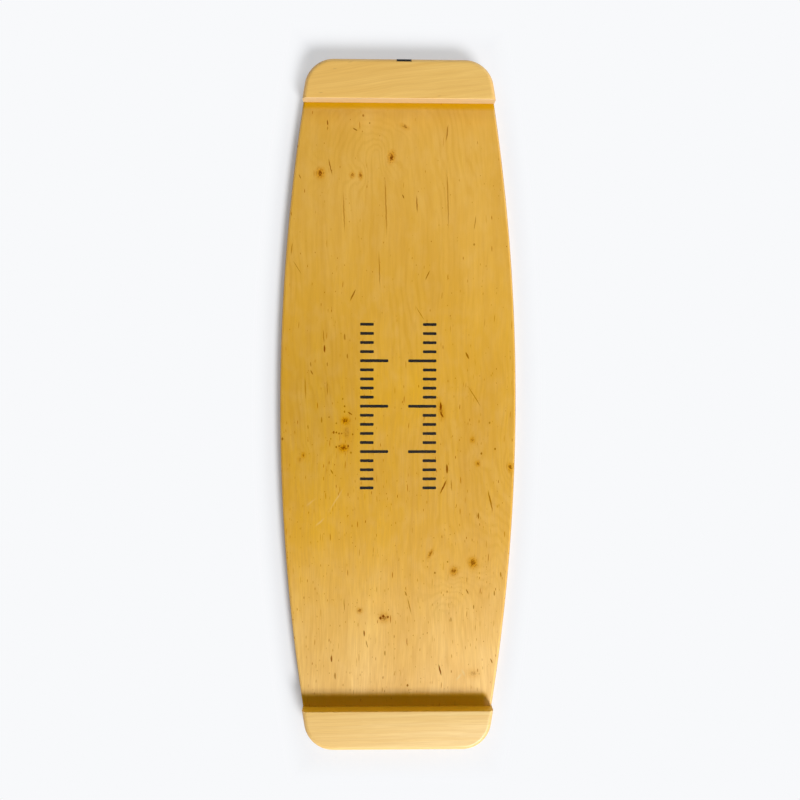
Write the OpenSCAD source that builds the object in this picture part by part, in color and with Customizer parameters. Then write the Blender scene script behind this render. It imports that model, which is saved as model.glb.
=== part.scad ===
// Balance board: a barrel-sided plywood deck with a wooden stop across each end.
// It lies with its riding face on z = 0 and its stops up, and its length runs along y.

/* [Deck] */
// Length of the board from end to end
board_length = 750; // [600:1:900]
// Width of the board across its middle
middle_width = 260; // [230:1:320]
// Width that the curved sides reach at the ends, before the corners are rounded
end_width = 195; // [170:1:215]
// Radius of the four corners, seen from above
corner_radius = 32; // [20:1:40]
// Number of inner plies between the two face veneers
core_plies = 9; // [5:2:11]
// Thickness of an inner ply
core_ply_thickness = 1.4; // [1.2:0.1:2]
// Thickness of a face veneer
face_ply_thickness = 1.2; // [0.8:0.1:2]
// Radius worked along the edges of the deck
edge_radius = 3; // [1:0.5:4]

/* [Stops] */
// Height of a stop above the deck
stop_height = 20; // [18:1:40]
// Depth of a stop, measured along the board
stop_depth = 43; // [36:1:70]
// Radius worked along the outer top edge of a stop
stop_edge_radius = 5; // [2:0.5:8]
// Flat left where the sharp inner edge of a stop is eased
stop_arris = 0.8; // [0.4:0.1:2]

/* [Screws] */
// Number of screws in each stop
screws_per_stop = 4; // [2:1:4]
// Distance from one screw to the next
screw_spacing = 48; // [30:1:50]
// Diameter of a screw across its thread
screw_diameter = 4; // [3:0.5:5]
// Wood left between the tip of a screw and the top of its stop
screw_cover = 4.5; // [2:0.5:8]
// Length of the point of a screw
screw_point = 5; // [3:0.5:8]
// Diameter of the countersunk head
head_diameter = 8; // [7:0.5:10]
// Height of the straight rim of the head
head_rim = 0.4; // [0.2:0.1:0.8]
// Depth that the head is sunk below the riding face
head_sink = 0.5; // [0.1:0.1:0.8]
// Width of each arm of the cross recess in the head
recess_width = 0.9; // [0.6:0.1:1.2]
// Length of each arm of the cross recess, from tip to tip
recess_length = 4.2; // [3:0.1:5]
// Depth of the cross recess
recess_depth = 1.6; // [1:0.1:1.8]
// Gap left round a screw in the wood
screw_gap = 0.05; // [0.02:0.01:0.2]

/* [Tag] */
// Width of the tag on the end of one stop
tag_width = 16; // [8:1:40]
// Distance from the middle of the tag to the middle line of the board
tag_offset = 5; // [0:1:20]
// Thickness of the tag, which lies flush in its recess
tag_thickness = 0.5; // [0.3:0.1:1]
// Height of the lower edge of the tag above the deck
tag_lift = 3; // [1:0.5:6]
// How far the tag turns over the rounded edge, in degrees
tag_wrap = 70; // [30:5:80]

/* [Hidden] */
$fn = 64;
// Steps in the full circle of a side arc, of which the board uses a small part
side_steps = 720;
// How far a cutting shape runs past what it cuts
overshoot = 2;
// Corner arcs stand this far out, so that they cross the sides and ends cleanly
corner_proud = 0.05;
// Flats in the quarter turn of a rounded edge
edge_steps = 6;

deck_thickness = core_plies * core_ply_thickness + 2 * face_ply_thickness;
board_height = deck_thickness + stop_height;
half_length = board_length / 2;
deck_edge = min(edge_radius, deck_thickness / 3);
stop_face = half_length - stop_depth;

// The sides are arcs through the middle width and the end width
side_sag = (middle_width - end_width) / 2;
side_radius = (half_length * half_length + side_sag * side_sag) / (2 * side_sag);
side_center = side_radius - middle_width / 2;

// Each corner arc runs from a side arc to the end
corner_y = half_length - corner_radius;
corner_x = sqrt(pow(side_radius - corner_radius, 2) - corner_y * corner_y) - side_center;
corner_angle = atan2(corner_y, corner_x + side_center);

screw_y = half_length - stop_depth / 2;
screw_length = board_height - head_sink - screw_cover;
head_cone = (head_diameter - screw_diameter) / 2;

deck_colour = "#d4a437";
cross_ply_colour = "#b98a3c";
stop_colour = "#e8c078";
screw_colour = "#8c8f94";
tag_colour = "#1a1a1a";

function core_name(i) = str("core_ply_", i);

// What rounding takes off a square edge, with the centre of its arc at the origin
module edge_waste(radius) {
  outer = radius + overshoot;
  turn = 90 / edge_steps;
  polygon(concat(
    [for (i = [0:edge_steps]) radius * [cos(i * turn), sin(i * turn)]],
    [[0, outer], [outer, outer], [outer, 0]]
  ));
}

// What rounding takes off the lower and upper edges of a slab that ends at this reach
module edge_wastes(reach, low, high, low_radius, high_radius) {
  if (low_radius > 0)
    translate([reach - low_radius, low + low_radius]) mirror([0, 1]) edge_waste(low_radius);
  if (high_radius > 0)
    translate([reach - high_radius, high - high_radius]) edge_waste(high_radius);
}

// Half of a slab's section, from its axis out to its rounded edge
module half_section(reach, low, high, low_radius, high_radius) {
  difference() {
    translate([0, low]) square([reach, high - low]);
    edge_wastes(reach, low, high, low_radius, high_radius);
  }
}

// Section along the whole board, rounded at both ends
module long_section(low, high, low_radius, high_radius) {
  difference() {
    translate([-half_length, low]) square([board_length, high - low]);
    for (side = [0, 1]) mirror([side, 0]) edge_wastes(half_length, low, high, low_radius, high_radius);
  }
}

// Turns a section in y and z into a bar of this width across the board
module across(width) {
  rotate([90, 0, 90]) linear_extrude(width, center = true) children();
}

// The part of a shape that lies between two places along the board
module between(from, to) {
  intersection() {
    children();
    translate([-middle_width, from, -board_height]) cube([2 * middle_width, to - from, 3 * board_height]);
  }
}

module side_disc(low, high, low_radius, high_radius) {
  translate([-side_center, 0, 0])
    rotate_extrude($fn = side_steps)
      half_section(side_radius, low, high, low_radius, high_radius);
}

// The two curved sides, which run past the ends of the board
module barrel(low, high, low_radius, high_radius) {
  intersection() {
    side_disc(low, high, low_radius, high_radius);
    rotate([0, 0, 180]) side_disc(low, high, low_radius, high_radius);
  }
}

// What rounding one corner of the outline takes off
module corner_waste(side, end, low, high, low_radius, high_radius) {
  far = 2 * corner_radius;
  translate([side * (corner_x + corner_proud), end * (corner_y + corner_proud), 0])
    difference() {
      translate([0, 0, low - overshoot])
        linear_extrude(high - low + 2 * overshoot)
          polygon([
            [0, 0],
            [side * far * cos(corner_angle), end * far * sin(corner_angle)],
            [side * far, end * far],
            [0, end * far]
          ]);
      rotate_extrude() half_section(corner_radius, low, high, low_radius, high_radius);
    }
}

// A slab with the outline of the board and rounded lower and upper edges
module board_slab(low, high, low_radius, high_radius) {
  difference() {
    intersection() {
      barrel(low, high, low_radius, high_radius);
      across(middle_width + 2 * overshoot) long_section(low, high, low_radius, high_radius);
    }
    for (side = [-1, 1], end = [-1, 1]) corner_waste(side, end, low, high, low_radius, high_radius);
  }
}

// The whole deck: its roller face is rounded between the stops and stays square under them
module deck_shape() {
  between(-stop_face, stop_face) barrel(0, deck_thickness, deck_edge, deck_edge);
  between(stop_face, board_length) board_slab(0, deck_thickness, deck_edge, 0);
  between(-board_length, -stop_face) board_slab(0, deck_thickness, deck_edge, 0);
}

module ply(low, thickness) {
  difference() {
    intersection() {
      deck_shape();
      translate([-middle_width, -board_length, low])
        cube([2 * middle_width, 2 * board_length, thickness]);
    }
    for (end = [-1, 1]) screw_row(end) screw_body(screw_gap, -overshoot);
  }
}

module riding_face_veneer() {
  color(deck_colour) ply(0, face_ply_thickness);
}

// Odd plies lie across the board and even ones along it
module core_ply(i) {
  color(i % 2 == 1 ? cross_ply_colour : deck_colour)
    ply(face_ply_thickness + (i - 1) * core_ply_thickness, core_ply_thickness);
}

module roller_face_veneer() {
  color(deck_colour) ply(deck_thickness - face_ply_thickness, face_ply_thickness);
}

// A stop before its tag recess is cut, at the end of the board where y is positive
module stop_block() {
  difference() {
    between(stop_face, board_length) board_slab(deck_thickness, board_height, 0, stop_edge_radius);
    across(2 * middle_width)
      polygon([
        [stop_face - overshoot, board_height - stop_arris - overshoot],
        [stop_face - overshoot, board_height + overshoot],
        [stop_face + stop_arris + overshoot, board_height + overshoot]
      ]);
    screw_row(1) screw_body(screw_gap, -overshoot);
  }
}

module tag_end_stop() {
  color(stop_colour)
    difference() {
      stop_block();
      tag_place() difference() {
        tag_zone();
        under_tag();
      }
    }
}

module plain_end_stop() {
  color(stop_colour) rotate([0, 0, 180]) stop_block();
}

module tag_place() {
  translate([tag_offset, 0, 0]) across(tag_width) children();
}

// Where the tag lies in the end section of the stop, from its lower edge to its turned-over edge
module tag_zone() {
  arc_y = half_length - stop_edge_radius;
  arc_z = board_height - stop_edge_radius;
  far = 2 * stop_edge_radius;
  polygon([
    [arc_y, arc_z],
    [arc_y + far * cos(tag_wrap), arc_z + far * sin(tag_wrap)],
    [half_length + far, arc_z],
    [half_length + far, deck_thickness + tag_lift],
    [arc_y, deck_thickness + tag_lift]
  ]);
}

// The end section of the stop below the tag
module under_tag() {
  half_section(
    half_length - tag_thickness, deck_thickness, board_height - tag_thickness, 0, stop_edge_radius - tag_thickness
  );
}

module end_tag() {
  color(tag_colour)
    tag_place()
      difference() {
        intersection() {
          half_section(half_length, deck_thickness, board_height, 0, stop_edge_radius);
          tag_zone();
        }
        under_tag();
      }
}

// Puts a shape at each screw of one end
module screw_row(end) {
  for (i = [0:screws_per_stop - 1])
    translate([(i - (screws_per_stop - 1) / 2) * screw_spacing, end * screw_y, head_sink]) children();
}

// A screw without its recess, pointing up, or the hole for it when a gap is given
module screw_body(gap, start) {
  rotate_extrude()
    polygon([
      [0, start],
      [head_diameter / 2 + gap, start],
      [head_diameter / 2 + gap, head_rim],
      [screw_diameter / 2 + gap, head_rim + head_cone],
      [screw_diameter / 2 + gap, screw_length - screw_point],
      [0, screw_length + gap]
    ]);
}

module screw() {
  difference() {
    screw_body(0, 0);
    for (turn = [0, 90])
      rotate([0, 0, turn]) cube([recess_length, recess_width, 2 * recess_depth], center = true);
  }
}

module tag_end_screws() {
  color(screw_colour) screw_row(1) screw();
}

module plain_end_screws() {
  color(screw_colour) screw_row(-1) screw();
}

riding_face_veneer();
for (i = [1:core_plies])
  core_ply(i);
roller_face_veneer();
tag_end_stop();
plain_end_stop();
tag_end_screws();
plain_end_screws();
end_tag();
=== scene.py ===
# %% [markdown]
# # A balance board: plywood deck, two wooden stops
# The object is a barrel-sided plywood board that a rider rocks on a loose roller. Eleven layers
# of birch make the deck, and a wooden stop across each end keeps the roller from running out.
# The CAD solids already stand in the right places, so they are loaded first as a fixed frame.
# The lesson then builds a finer piece over each solid and gives it the finish of the real thing.

# %% Load the frame
import math

import bmesh
import bpy
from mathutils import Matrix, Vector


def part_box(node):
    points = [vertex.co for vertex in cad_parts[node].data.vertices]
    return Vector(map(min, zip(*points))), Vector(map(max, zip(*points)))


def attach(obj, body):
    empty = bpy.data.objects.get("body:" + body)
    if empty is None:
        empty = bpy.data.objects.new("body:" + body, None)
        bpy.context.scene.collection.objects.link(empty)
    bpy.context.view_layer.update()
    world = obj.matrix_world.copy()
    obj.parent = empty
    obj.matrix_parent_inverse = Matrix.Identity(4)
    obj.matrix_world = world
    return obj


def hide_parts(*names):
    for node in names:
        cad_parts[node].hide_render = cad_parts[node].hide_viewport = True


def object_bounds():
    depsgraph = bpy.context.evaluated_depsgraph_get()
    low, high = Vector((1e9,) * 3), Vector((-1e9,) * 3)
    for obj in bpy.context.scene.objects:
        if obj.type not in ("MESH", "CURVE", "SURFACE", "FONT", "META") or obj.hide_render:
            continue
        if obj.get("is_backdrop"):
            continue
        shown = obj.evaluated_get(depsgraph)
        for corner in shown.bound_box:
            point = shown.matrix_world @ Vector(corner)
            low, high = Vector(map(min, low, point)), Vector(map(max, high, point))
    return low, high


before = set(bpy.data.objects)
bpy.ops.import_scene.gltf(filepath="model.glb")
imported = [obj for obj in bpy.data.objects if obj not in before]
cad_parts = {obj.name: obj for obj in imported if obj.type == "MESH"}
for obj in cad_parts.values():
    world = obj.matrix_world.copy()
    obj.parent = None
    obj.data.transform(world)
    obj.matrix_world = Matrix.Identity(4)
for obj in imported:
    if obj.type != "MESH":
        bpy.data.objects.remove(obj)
cad_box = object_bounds()
print("CAD nodes:", len(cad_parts), "box:", [[round(v, 4) for v in corner] for corner in cad_box])

# %% [markdown]
# ## The sizes
# Blender works in metres, and a maker thinks in millimetres, so every size is a number of MM.
# The outline is drawn by one rule. A thin skeleton runs inside the board, and every point of the
# outline stands one corner radius away from it. Taking less than that radius gives the same
# outline drawn further in, which is all that a rounded edge needs.

# %% Sizes of the board
MM = 0.001
HALF_LENGTH = 375 * MM
HALF_WIDTH = 130 * MM
HALF_END_WIDTH = 97.5 * MM
CORNER_RADIUS = 32 * MM
STOP_DEPTH = 43 * MM

SIDE_SAG = HALF_WIDTH - HALF_END_WIDTH
SIDE_RADIUS = (HALF_LENGTH**2 + SIDE_SAG**2) / (2 * SIDE_SAG)
SIDE_CENTRE = SIDE_RADIUS - HALF_WIDTH
CORNER_Y = HALF_LENGTH - CORNER_RADIUS
CORNER_X = math.sqrt((SIDE_RADIUS - CORNER_RADIUS) ** 2 - CORNER_Y**2) - SIDE_CENTRE
CORNER_ANGLE = math.atan2(CORNER_Y, CORNER_X + SIDE_CENTRE)
STOP_FACE = HALF_LENGTH - STOP_DEPTH
DECK_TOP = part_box("roller_face_veneer")[1].z
BOARD_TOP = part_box("tag_end_stop")[1].z
print(f"side radius {SIDE_RADIUS:.3f} m, deck {DECK_TOP / MM:.1f} mm, board {BOARD_TOP / MM:.1f} mm")

# %% [markdown]
# ## The camera
# The photograph looks almost straight down on the board. The place and the small tilts of this
# camera come from fitting the board's outline to the outline in the picture, with an ordinary
# 50 mm lens on a full-frame sensor, so that the two pictures lie over each other.

# %% Camera above the board
LENS, SENSOR_WIDTH = 50, 36
CAMERA_PLACE = (-30.5 * MM, 32.4 * MM, 1237.1 * MM)
CAMERA_TILTS = (-1.199, -1.519, 0.1455)

camera_data = bpy.data.cameras.new("overhead_camera")
camera_data.lens = LENS
camera_data.sensor_width = SENSOR_WIDTH
camera = bpy.data.objects.new("overhead_camera", camera_data)
camera.location = CAMERA_PLACE
camera.rotation_euler = [math.radians(turn) for turn in CAMERA_TILTS]
bpy.context.scene.collection.objects.link(camera)
bpy.context.scene.camera = camera
bpy.context.scene.view_settings.view_transform = "Standard"
print(f"camera {camera.location.z:.3f} m above the floor")

# %% [markdown]
# ## One function for nodes, one for colours
# Every finish and every Geometry Nodes tree below is made of nodes, so one small function adds a
# node, sets it and links it. Its sockets may be named or numbered, or simply filled in their order,
# and what goes in may be a number, another node, or one output of another node. For a Map Range
# node that order is the value, the range it comes from and the range it goes to. Colours are
# written as on a paint card, in sRGB hex, and shaders calculate in linear light, so a second
# function turns the one into the other.

# %% Node and colour helpers
SMOOTH = {"interpolation_type": "SMOOTHSTEP"}


def add(tree, kind, sockets=(), **settings):
    made = tree.nodes.new(kind)
    for name, value in settings.items():
        setattr(made, name, value)
    keyed = sockets if isinstance(sockets, dict) else dict(enumerate(sockets))
    for key, value in keyed.items():
        if isinstance(key, int):
            socket = made.inputs[key]
        else:
            socket = next(s for s in made.inputs if s.enabled and s.name == key)
        if isinstance(value, bpy.types.Node):
            value = next(s for s in value.outputs if s.enabled)
        if isinstance(value, bpy.types.NodeSocket):
            tree.links.new(value, socket)
        else:
            socket.default_value = value
    return made


def linear(hex_colour):
    parts = [int(hex_colour[i : i + 2], 16) / 255 for i in (1, 3, 5)]
    return [c / 12.92 if c <= 0.04045 else ((c + 0.055) / 1.055) ** 2.4 for c in parts] + [1]


def start_material(name):
    made = bpy.data.materials.new(name)
    made.use_nodes = True
    made.node_tree.nodes.clear()
    return made, made.node_tree


def end_material(made, surface):
    add(made.node_tree, "ShaderNodeOutputMaterial", {"Surface": surface})
    print(made.name, "with", len(made.node_tree.nodes), "nodes")
    return made


print("birch on a paint card #D09D35, in linear light:", [round(c, 3) for c in linear("#D09D35")])

# %% [markdown]
# ## A white floor
# A product picture on white needs a floor that stays white and still takes the shadow. Close to the
# board the floor here is mostly matt paper that the lamp lights, and further out it turns into an
# even white, so the shadow is soft and ends near the board, as in the photograph. From below, and
# where something lies right on it, the sheet lets light through, so the underside can be looked at.

# %% Floor
WHITE = linear("#F8F9FB")
PAPER = linear("#F2F4F8")
FLOOR_SIZE = 30
FLOOR_DROP = 0.2 * MM
TOUCHING = 0.6 * MM
# Near the ends more of the even white is mixed in than along the sides, which paints the shadow of the
# stops paler
SIDE_GLOW, END_GLOW = 0.2, 0.5
GLOW_REACH = 30 * MM
STOP_SHADE = 16 * MM

floor_mesh = bpy.data.meshes.new("studio_floor")
corners = [(x * FLOOR_SIZE, y * FLOOR_SIZE, -FLOOR_DROP) for x, y in ((-1, -1), (1, -1), (1, 1), (-1, 1))]
floor_mesh.from_pydata(corners, [], [(0, 1, 2, 3)])
floor = bpy.data.objects.new("studio_floor", floor_mesh)
bpy.context.scene.collection.objects.link(floor)
floor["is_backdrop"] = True


# The kinds of rays, and whether a ray was mirrored or came through something clear
def ray_kinds(tree):
    rays = add(tree, "ShaderNodeLightPath").outputs
    mirrored = (rays["Is Glossy Ray"], rays["Is Transmission Ray"])
    return rays, add(tree, "ShaderNodeMath", mirrored, operation="MAXIMUM")


paper, tree = start_material("matt_white_paper")
rays, mirrored = ray_kinds(tree)
seen = add(tree, "ShaderNodeMath", (mirrored, rays["Is Camera Ray"]), operation="MAXIMUM")
place = add(tree, "ShaderNodeTexCoord").outputs["Object"]
place = add(tree, "ShaderNodeVectorMath", (place,), operation="ABSOLUTE")
place = add(tree, "ShaderNodeSeparateXYZ", {"Vector": place})
across, along = place.outputs["X"], place.outputs["Y"]

# How far a spot lies outside the board, past the arc of its side or past its end
side = add(tree, "ShaderNodeMath", (along, 2), operation="POWER")
side = add(tree, "ShaderNodeMath", (SIDE_RADIUS**2, side), operation="SUBTRACT")
side = add(tree, "ShaderNodeMath", (side,), operation="SQRT")
past_side = add(tree, "ShaderNodeMath", (across, side), operation="SUBTRACT")
past_side = add(tree, "ShaderNodeMath", (past_side, SIDE_CENTRE), operation="ADD")
past_end = add(tree, "ShaderNodeMath", (along, HALF_LENGTH + STOP_SHADE), operation="SUBTRACT")
away = add(tree, "ShaderNodeMath", (past_side, past_end), operation="MAXIMUM")
near = add(tree, "ShaderNodeMapRange", (along, STOP_FACE - STOP_DEPTH, HALF_LENGTH, SIDE_GLOW, END_GLOW))
share = add(tree, "ShaderNodeMapRange", (away, 0, GLOW_REACH, near), **SMOOTH)

matt = add(tree, "ShaderNodeBsdfDiffuse", {"Color": PAPER})
glow = add(tree, "ShaderNodeEmission", {"Color": WHITE, "Strength": 1})
shown = add(tree, "ShaderNodeMixShader", (share, matt, glow))
upper = add(tree, "ShaderNodeMixShader", (seen, matt, shown))
below = add(tree, "ShaderNodeNewGeometry").outputs["Backfacing"]
touched = add(tree, "ShaderNodeMath", (rays["Ray Length"], TOUCHING), operation="LESS_THAN")
clear = add(tree, "ShaderNodeMath", (below, touched), operation="MAXIMUM")
lower = add(tree, "ShaderNodeBsdfTransparent")
sheet = add(tree, "ShaderNodeMixShader", (clear, upper, lower))
floor_mesh.materials.append(end_material(paper, sheet))

# %% [markdown]
# ## A lamp, white walls and a dark ceiling
# One lamp stands at the lower right, and its width gives the shadow of the stop its soft edge. The
# rest of the light comes in low from white walls, most of it from the right, and the ceiling is
# dark. A dark ceiling lays no pale veil over the lacquer, so the wood keeps its deep colour.

# %% Walls and lamp
WALL_TOP, WALL_FADE = 0.52, 0.1
NEAR_WALL, FAR_WALL, END_WALL = 2.3, 1.0, 0.25
LAMP_LEVEL = 3.0
LAMP_WIDTH = math.radians(20)
LAMP_FROM = (0.45, -0.81, 1)

studio = bpy.data.worlds.new("white_walls_dark_ceiling")
studio.use_nodes = True
tree = studio.node_tree
tree.nodes.clear()
direction = add(tree, "ShaderNodeTexCoord").outputs["Generated"]
direction = add(tree, "ShaderNodeSeparateXYZ", {"Vector": direction})
walls = (direction.outputs["Z"], WALL_TOP + WALL_FADE, WALL_TOP - WALL_FADE)
walls = add(tree, "ShaderNodeMapRange", walls, **SMOOTH)
near, far = [
    add(tree, "ShaderNodeMapRange", (direction.outputs["X"], 0, side, END_WALL, level))
    for side, level in ((1, NEAR_WALL), (-1, FAR_WALL))
]
level = add(tree, "ShaderNodeMath", (near, far), operation="MAXIMUM")
level = add(tree, "ShaderNodeMath", (level, walls), operation="MULTIPLY")
rays, mirrored = ray_kinds(tree)
mirrored = add(tree, "ShaderNodeMath", (mirrored, walls), operation="MULTIPLY")
seen = add(tree, "ShaderNodeMath", (mirrored, rays["Is Camera Ray"]), operation="MAXIMUM")
level = add(tree, "ShaderNodeMath", (level, seen), operation="MAXIMUM")
around = add(tree, "ShaderNodeBackground", {"Color": WHITE, "Strength": level})
add(tree, "ShaderNodeOutputWorld", {"Surface": around})
bpy.context.scene.world = studio

lamp_data = bpy.data.lights.new("right_hand_lamp", "SUN")
lamp_data.energy = LAMP_LEVEL
lamp_data.angle = LAMP_WIDTH
lamp = bpy.data.objects.new("right_hand_lamp", lamp_data)
lamp.rotation_euler = Vector(LAMP_FROM).to_track_quat("Z", "Y").to_euler()
bpy.context.scene.collection.objects.link(lamp)
from_lamp = LAMP_LEVEL * Vector(LAMP_FROM).normalized().z / math.pi
from_walls = WALL_TOP**2 * (NEAR_WALL + FAR_WALL + 2 * END_WALL) / 4
print(f"of full white, paper gets {from_lamp:.2f} from the lamp and about {from_walls:.2f} from the walls")

# %% [markdown]
# ## Making pieces plain
# A finished piece is a plain mesh at the origin, with its place in its vertices. Trees and
# modifiers help to make it, and this helper then keeps their result and drops them. Edges that
# turn by more than a set angle stay crisp, and everything softer is shaded round.

# %% Piece helpers
CRISP_ANGLE = math.radians(32)


def new_piece(name, mesh=None):
    made = bpy.data.objects.new(name, mesh or bpy.data.meshes.new(name))
    bpy.context.scene.collection.objects.link(made)
    return made


def settle(piece):
    graph = bpy.context.evaluated_depsgraph_get()
    mesh = bpy.data.meshes.new_from_object(piece.evaluated_get(graph), depsgraph=graph)
    used = {face.material_index for face in mesh.polygons}
    for index in reversed(range(len(mesh.materials))):
        if index not in used:
            mesh.materials.pop(index=index)
    piece.modifiers.clear()
    piece.data = mesh
    mesh.name = piece.name
    mesh.shade_smooth()
    mesh.set_sharp_from_angle(angle=CRISP_ANGLE)
    return piece


def show(piece, node):
    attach(piece, "root")
    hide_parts(node)
    print(f"{piece.name}: {len(piece.data.polygons)} faces in place of {node}")


print("crisp edges from", round(math.degrees(CRISP_ANGLE)), "degrees")

# %% [markdown]
# ## Trees with named inputs
# A Geometry Nodes tree is like a drawing with open sizes. Each tree here has named inputs, the last
# of them its finish, and ends in real faces that carry this finish. A piece grows from a tree when
# a modifier fills the inputs in, each by its identifier, and the result is then made plain.

# %% Tree helpers
def start_tree(name, inputs):
    made = bpy.data.node_groups.new(name, "GeometryNodeTree")
    made.interface.new_socket("Geometry", in_out="OUTPUT", socket_type="NodeSocketGeometry")
    for label, kind in {**inputs, "Finish": "Material"}.items():
        made.interface.new_socket(label, in_out="INPUT", socket_type="NodeSocket" + kind)
    return made, made.nodes.new("NodeGroupInput").outputs


def end_tree(tree, given, shape):
    solid = add(tree, "GeometryNodeRealizeInstances", {"Geometry": shape})
    solid = add(tree, "GeometryNodeSetMaterial", {"Geometry": solid, "Material": given["Finish"]})
    add(tree, "NodeGroupOutput", {"Geometry": solid})
    print("tree", tree.name, "with", len(tree.nodes), "nodes")


def grow(name, tree, values):
    piece = new_piece(name)
    modifier = piece.modifiers.new(tree.name, "NODES")
    modifier.node_group = tree
    for item in tree.interface.items_tree:
        if item.in_out == "INPUT":
            modifier[item.identifier] = values[item.name]
    return settle(piece)


print("trees so far:", len(bpy.data.node_groups))

# %% [markdown]
# ## Zinc-plated steel
# The screws are cold-headed steel with a thin, clear-passivated zinc coat. To the eye that is a
# bright grey metal with a faint cloudiness where the zinc is thicker. A metal takes its look from
# its colour and its roughness alone, so both follow one slow, cloudy noise.

# %% Finish of the screws
CLOUD_SIZE = 1.5 * MM

steel, tree = start_material("zinc_plated_cold_headed_steel")
where = add(tree, "ShaderNodeTexCoord").outputs["Object"]
cloud = add(tree, "ShaderNodeTexNoise", {"Vector": where, "Scale": 1 / CLOUD_SIZE, "Detail": 3})
zinc = {"Factor": cloud, "A": linear("#AEB1B5"), "B": linear("#D2D3D1")}
zinc = add(tree, "ShaderNodeMix", zinc, data_type="RGBA")
rough = add(tree, "ShaderNodeMapRange", {"Value": cloud, "To Min": 0.26, "To Max": 0.44})
pits = add(tree, "ShaderNodeBump", {"Height": cloud, "Strength": 0.3, "Distance": 0.02 * MM})
metal = {"Base Color": zinc, "Metallic": 1, "Roughness": rough, "Normal": pits}
metal = add(tree, "ShaderNodeBsdfPrincipled", metal)
end_material(steel, metal)

# %% [markdown]
# ## Shapes made ring by ring
# A loft is a stack of rings with the same number of points, skinned with faces and closed at both
# ends. A turned shape is a loft of circles. Where its profile leaves the radius open, a rule gives
# it from the height and from how far round the ring a point lies.

# %% Lofted and turned shapes
def loft(name, rings):
    mesh = bpy.data.meshes.new(name)
    shape = bmesh.new()
    rows = [[shape.verts.new(point) for point in ring] for ring in rings]
    for low, high in zip(rows, rows[1:]):
        for i, corner in enumerate(low):
            after = (i + 1) % len(low)
            shape.faces.new((corner, low[after], high[after], high[i]))
    shape.faces.new(reversed(rows[0]))
    shape.faces.new(rows[-1])
    bmesh.ops.recalc_face_normals(shape, faces=shape.faces)
    shape.to_mesh(mesh)
    shape.free()
    return new_piece(name, mesh)


def turned(name, profile, steps, radius=None):
    angles = [math.tau * i / steps for i in range(steps)]
    rings = []
    for height, plain in profile:
        sizes = [radius(height, a / math.tau) if plain is None else plain for a in angles]
        rings.append([(r * math.cos(a), r * math.sin(a), height) for a, r in zip(angles, sizes)])
    return loft(name, rings)


print("meshes so far:", len(bpy.data.meshes))

# %% [markdown]
# ## One wood screw, and the hole it needs
# Four countersunk screws come up through the riding face into each stop. In the threaded part the
# radius depends on how far round a point lies, and that turns plain rings into a helix. The cross
# in the head is cut with a Boolean. The hole is turned too, a little wider and without a thread.

# %% Screw and hole shapes
HEAD_RADIUS = 4 * MM
HEAD_RIM = 0.4 * MM
HEAD_BREAK = 0.15 * MM
SHANK_RADIUS = 2 * MM
CORE_RADIUS = 1.35 * MM
SCREW_LENGTH = 30 * MM
SCREW_POINT = 5 * MM
TIP_RADIUS = 0.05 * MM
THREAD_START = 9 * MM
THREAD_PITCH = 1.8 * MM
ROWS_PER_PITCH = 9
TURN_STEPS = 24
HOLE_STEPS = 40
HOLE_GAP = 0.05 * MM
HOLE_RUN_OUT = 2 * MM
RECESS_ARM = 2.1 * MM
RECESS_HALF = 0.45 * MM
RECESS_DEPTH = 1.6 * MM
RECESS_MOUTH, RECESS_TAPER = 1.45, 0.55
HEAD_END = HEAD_RIM + HEAD_RADIUS - SHANK_RADIUS


def thread_radius(height, turn):
    ramp = (height / THREAD_PITCH - turn) % 1
    crest = abs(2 * ramp - 1) ** 3
    taper = min(1, max(0, (SCREW_LENGTH - height) / SCREW_POINT))
    return TIP_RADIUS + (CORE_RADIUS + (SHANK_RADIUS - CORE_RADIUS) * crest - TIP_RADIUS) * taper


thread_length = SCREW_LENGTH - THREAD_START
thread_rows = round(thread_length / THREAD_PITCH * ROWS_PER_PITCH)
screw_profile = [
    (0, HEAD_RADIUS - HEAD_BREAK),
    (HEAD_BREAK, HEAD_RADIUS),
    (HEAD_RIM, HEAD_RADIUS),
    (HEAD_END, SHANK_RADIUS),
    (THREAD_START - THREAD_PITCH, SHANK_RADIUS),
]
screw_profile += [(THREAD_START + thread_length * i / thread_rows, None) for i in range(thread_rows + 1)]
one_screw = turned("one_screw", screw_profile, TURN_STEPS, thread_radius)

arm = [(RECESS_ARM, RECESS_HALF), (RECESS_HALF, RECESS_HALF), (RECESS_HALF, RECESS_ARM)]
quarters = ((1, 0), (0, 1), (-1, 0), (0, -1))
cross = [(x * cos - y * sin, x * sin + y * cos) for cos, sin in quarters for x, y in arm]
recess_ends = ((-RECESS_DEPTH, RECESS_MOUTH), (RECESS_DEPTH, RECESS_TAPER))
recess = loft("cross_recess", [[(x * size, y * size, z) for x, y in cross] for z, size in recess_ends])
cut = one_screw.modifiers.new("cross_recess", "BOOLEAN")
cut.object = recess
settle(one_screw)
bpy.data.objects.remove(recess)

hole_profile = [
    (-HOLE_RUN_OUT, HEAD_RADIUS + HOLE_GAP),
    (HEAD_RIM, HEAD_RADIUS + HOLE_GAP),
    (HEAD_END, SHANK_RADIUS + HOLE_GAP),
    (SCREW_LENGTH - SCREW_POINT, SHANK_RADIUS + HOLE_GAP),
    (SCREW_LENGTH + HOLE_GAP, TIP_RADIUS),
]
one_hole = turned("one_hole", hole_profile, HOLE_STEPS)
print("one screw:", len(one_screw.data.polygons), "faces, with", thread_rows, "rows of thread")

# %% [markdown]
# ## Rows of screws
# Eight screws that differ only in their place are a job for Geometry Nodes. A Mesh Line makes one
# point for each screw, Instance on Points sets a copy on each, and a seeded Random Value turns
# every cross its own way, as a driver leaves it. Realize Instances makes real faces of the copies.
# The same tree sets the holes, and a Boolean for each row drills them.

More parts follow.
